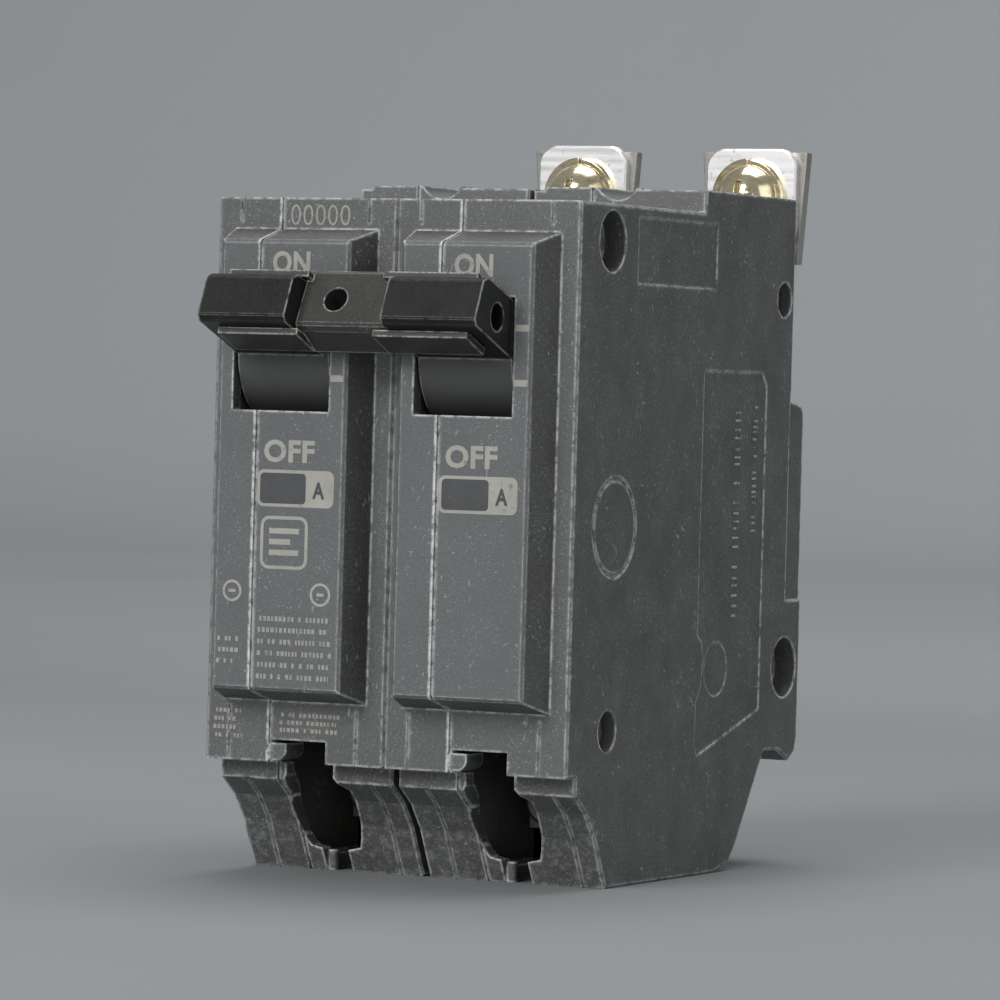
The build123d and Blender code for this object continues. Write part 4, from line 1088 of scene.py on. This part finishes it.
@dataclass(frozen=True)
class Lamp:
    """A soft square area light aimed at the breaker.

    Args:
        name: object name.
        power: watts.
        size: side in metres.
        at: place in metres.
    """

    name: str
    power: float
    size: float
    at: Point

    def build(self, aim: Point) -> None:
        """Add the light, turned to look at a point."""
        data = bpy.data.lights.new(self.name, "AREA")
        data.energy = self.power
        data.size = self.size
        made = bpy.data.objects.new(self.name, data)
        bpy.context.scene.collection.objects.link(made)
        made.location = self.at
        made.rotation_euler = (Vector(aim) - Vector(self.at)).to_track_quat("-Z", "Y").to_euler()


@dataclass
class Studio:
    """Floor, backdrop, lights and camera.

    Args:
        eye: place of the camera in millimetres.
        azimuth: degrees to the right of the front.
        pitch: degrees that the camera looks down.
        roll: degrees that the camera turns about its own axis.
        lens: focal length in millimetres.
        aim: point that the lights look at, in metres.
        floor_reach: half the side of the floor in metres.
        wall_distance: where the floor starts to curve up, in metres.
        curve: radius of that curve in metres.
        wall_rise: height of the wall over the curve in metres.
        painted_shade_fade: depths between which the floor's painted shade turns into the wall's
            tone.
        floor_painted_shade_colour: painted shade of the floor near the breaker.
        wall_colour: colour of the wall.
        sky: colour of the light from all round.
        sky_strength: strength of that light.
        lamps: the lights.
    """

    eye: Point = (326.5, -654.8, 60.4)
    azimuth: float = 26.70
    pitch: float = 1.02
    roll: float = 1.55
    lens: float = 202.9
    aim: Point = (0.0, 0.0, 0.05)
    floor_reach: float = 3.0
    wall_distance: float = 1.3
    curve: float = 0.5
    wall_rise: float = 2.0
    painted_shade_fade: Span = (0.3, 1.5)
    floor_painted_shade_colour: Colour = (0.272, 0.285, 0.293)
    wall_colour: Colour = (0.70, 0.725, 0.745)
    sky: Colour = (0.86, 0.88, 0.9)
    sky_strength: float = 0.30
    lamps: Tuple[Lamp, ...] = (
        Lamp("key", 9.0, 0.55, (-0.25, -1.25, 0.80)),
        Lamp("front", 2.6, 0.6, (0.05, -1.2, 0.25)),
        Lamp("side", 2.2, 0.9, (1.1, -0.2, 0.45)),
        Lamp("top", 5.5, 0.7, (0.0, 0.25, 1.0)),
    )

    def _floor(self) -> None:
        """Pale floor that sweeps up into a wall, painted darker near the breaker as shade."""
        bm = bmesh.new()
        grid = bmesh.ops.create_grid(bm, x_segments=1, y_segments=1, size=self.floor_reach)["verts"]
        shift = Vector((0, self.wall_distance - self.floor_reach, 0))
        bmesh.ops.translate(bm, vec=shift, verts=grid)
        back = [e for e in bm.edges if all(v.co.y > self.wall_distance - MM for v in e.verts)]
        bmesh.ops.spin(
            bm, geom=back, cent=Vector((0, self.wall_distance, self.curve)), axis=Vector((1, 0, 0)),
            angle=math.pi / 2, steps=24, use_merge=False,
        )
        top = [e for e in bm.edges if all(v.co.z > self.curve - MM for v in e.verts)]
        grown = bmesh.ops.extrude_edge_only(bm, edges=top)["geom"]
        raised = [v for v in grown if isinstance(v, bmesh.types.BMVert)]
        bmesh.ops.translate(bm, vec=Vector((0, 0, self.wall_rise)), verts=raised)
        g = Graph("studio_floor")
        split = g.node("ShaderNodeSeparateXYZ")
        g.link(g.coords, split.inputs[0])
        # Painted shade: the floor's colour runs from dark near the breaker to the pale wall colour.
        far = g.ramp(split.outputs[1], self.painted_shade_fade[0], self.painted_shade_fade[1])
        cloud = g.math("ADD", far, g.ramp(g.noise(6.0, 3.0), 0.3, 0.7, -0.03, 0.03), True)
        g.link(g.blend(cloud, self.floor_painted_shade_colour, self.wall_colour), g.shader.inputs["Base Color"])
        g.shader.inputs["Roughness"].default_value = 0.75
        made = to_object("studio_floor", bm, g.material, True)

    def _camera(self) -> None:
        """Camera at the viewing angle, with its slight roll."""
        a, p, r = (math.radians(v) for v in (self.azimuth, self.pitch, self.roll))
        forward = Vector((-math.sin(a) * math.cos(p), math.cos(a) * math.cos(p), -math.sin(p)))
        right = Vector((math.cos(a), math.sin(a), 0))
        up = right.cross(forward)
        side = right * math.cos(r) + up * math.sin(r)
        top = up * math.cos(r) - right * math.sin(r)
        data = bpy.data.cameras.new("camera")
        data.lens = self.lens
        data.sensor_width = 36.0
        data.clip_start = 0.01
        camera = bpy.data.objects.new("camera", data)
        basis = Matrix((side, top, -forward)).transposed().to_4x4()
        camera.matrix_world = Matrix.Translation(Vector(self.eye) * MM) @ basis
        bpy.context.scene.collection.objects.link(camera)
        bpy.context.scene.camera = camera

    def build(self) -> None:
        """Set the whole studio."""
        self._floor()
        for lamp in self.lamps:
            lamp.build(self.aim)
        world = bpy.data.worlds.new("studio")
        world.use_nodes = True
        background = world.node_tree.nodes["Background"]
        background.inputs["Color"].default_value = (*self.sky, 1.0)
        background.inputs["Strength"].default_value = self.sky_strength
        bpy.context.scene.world = world
        bpy.context.scene.view_settings.view_transform = "Standard"
        self._camera()
        LOG.info("studio ready")


def main() -> None:
    """Build the breaker's looks piece by piece."""
    logging.basicConfig(level=logging.INFO, format="%(name)s: %(message)s")
    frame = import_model()
    finishes = Finishes()
    dresser = Dresser(frame["nodes"], finishes)
    for assembly in (Housing, Toggle, LineTerminals, LoadTerminals, Mechanism):
        assembly(dresser).dress()
    Markings(finishes).build()
    SideRelief(finishes).build()
    Studio().build()


if __name__ == "__main__":
    main()
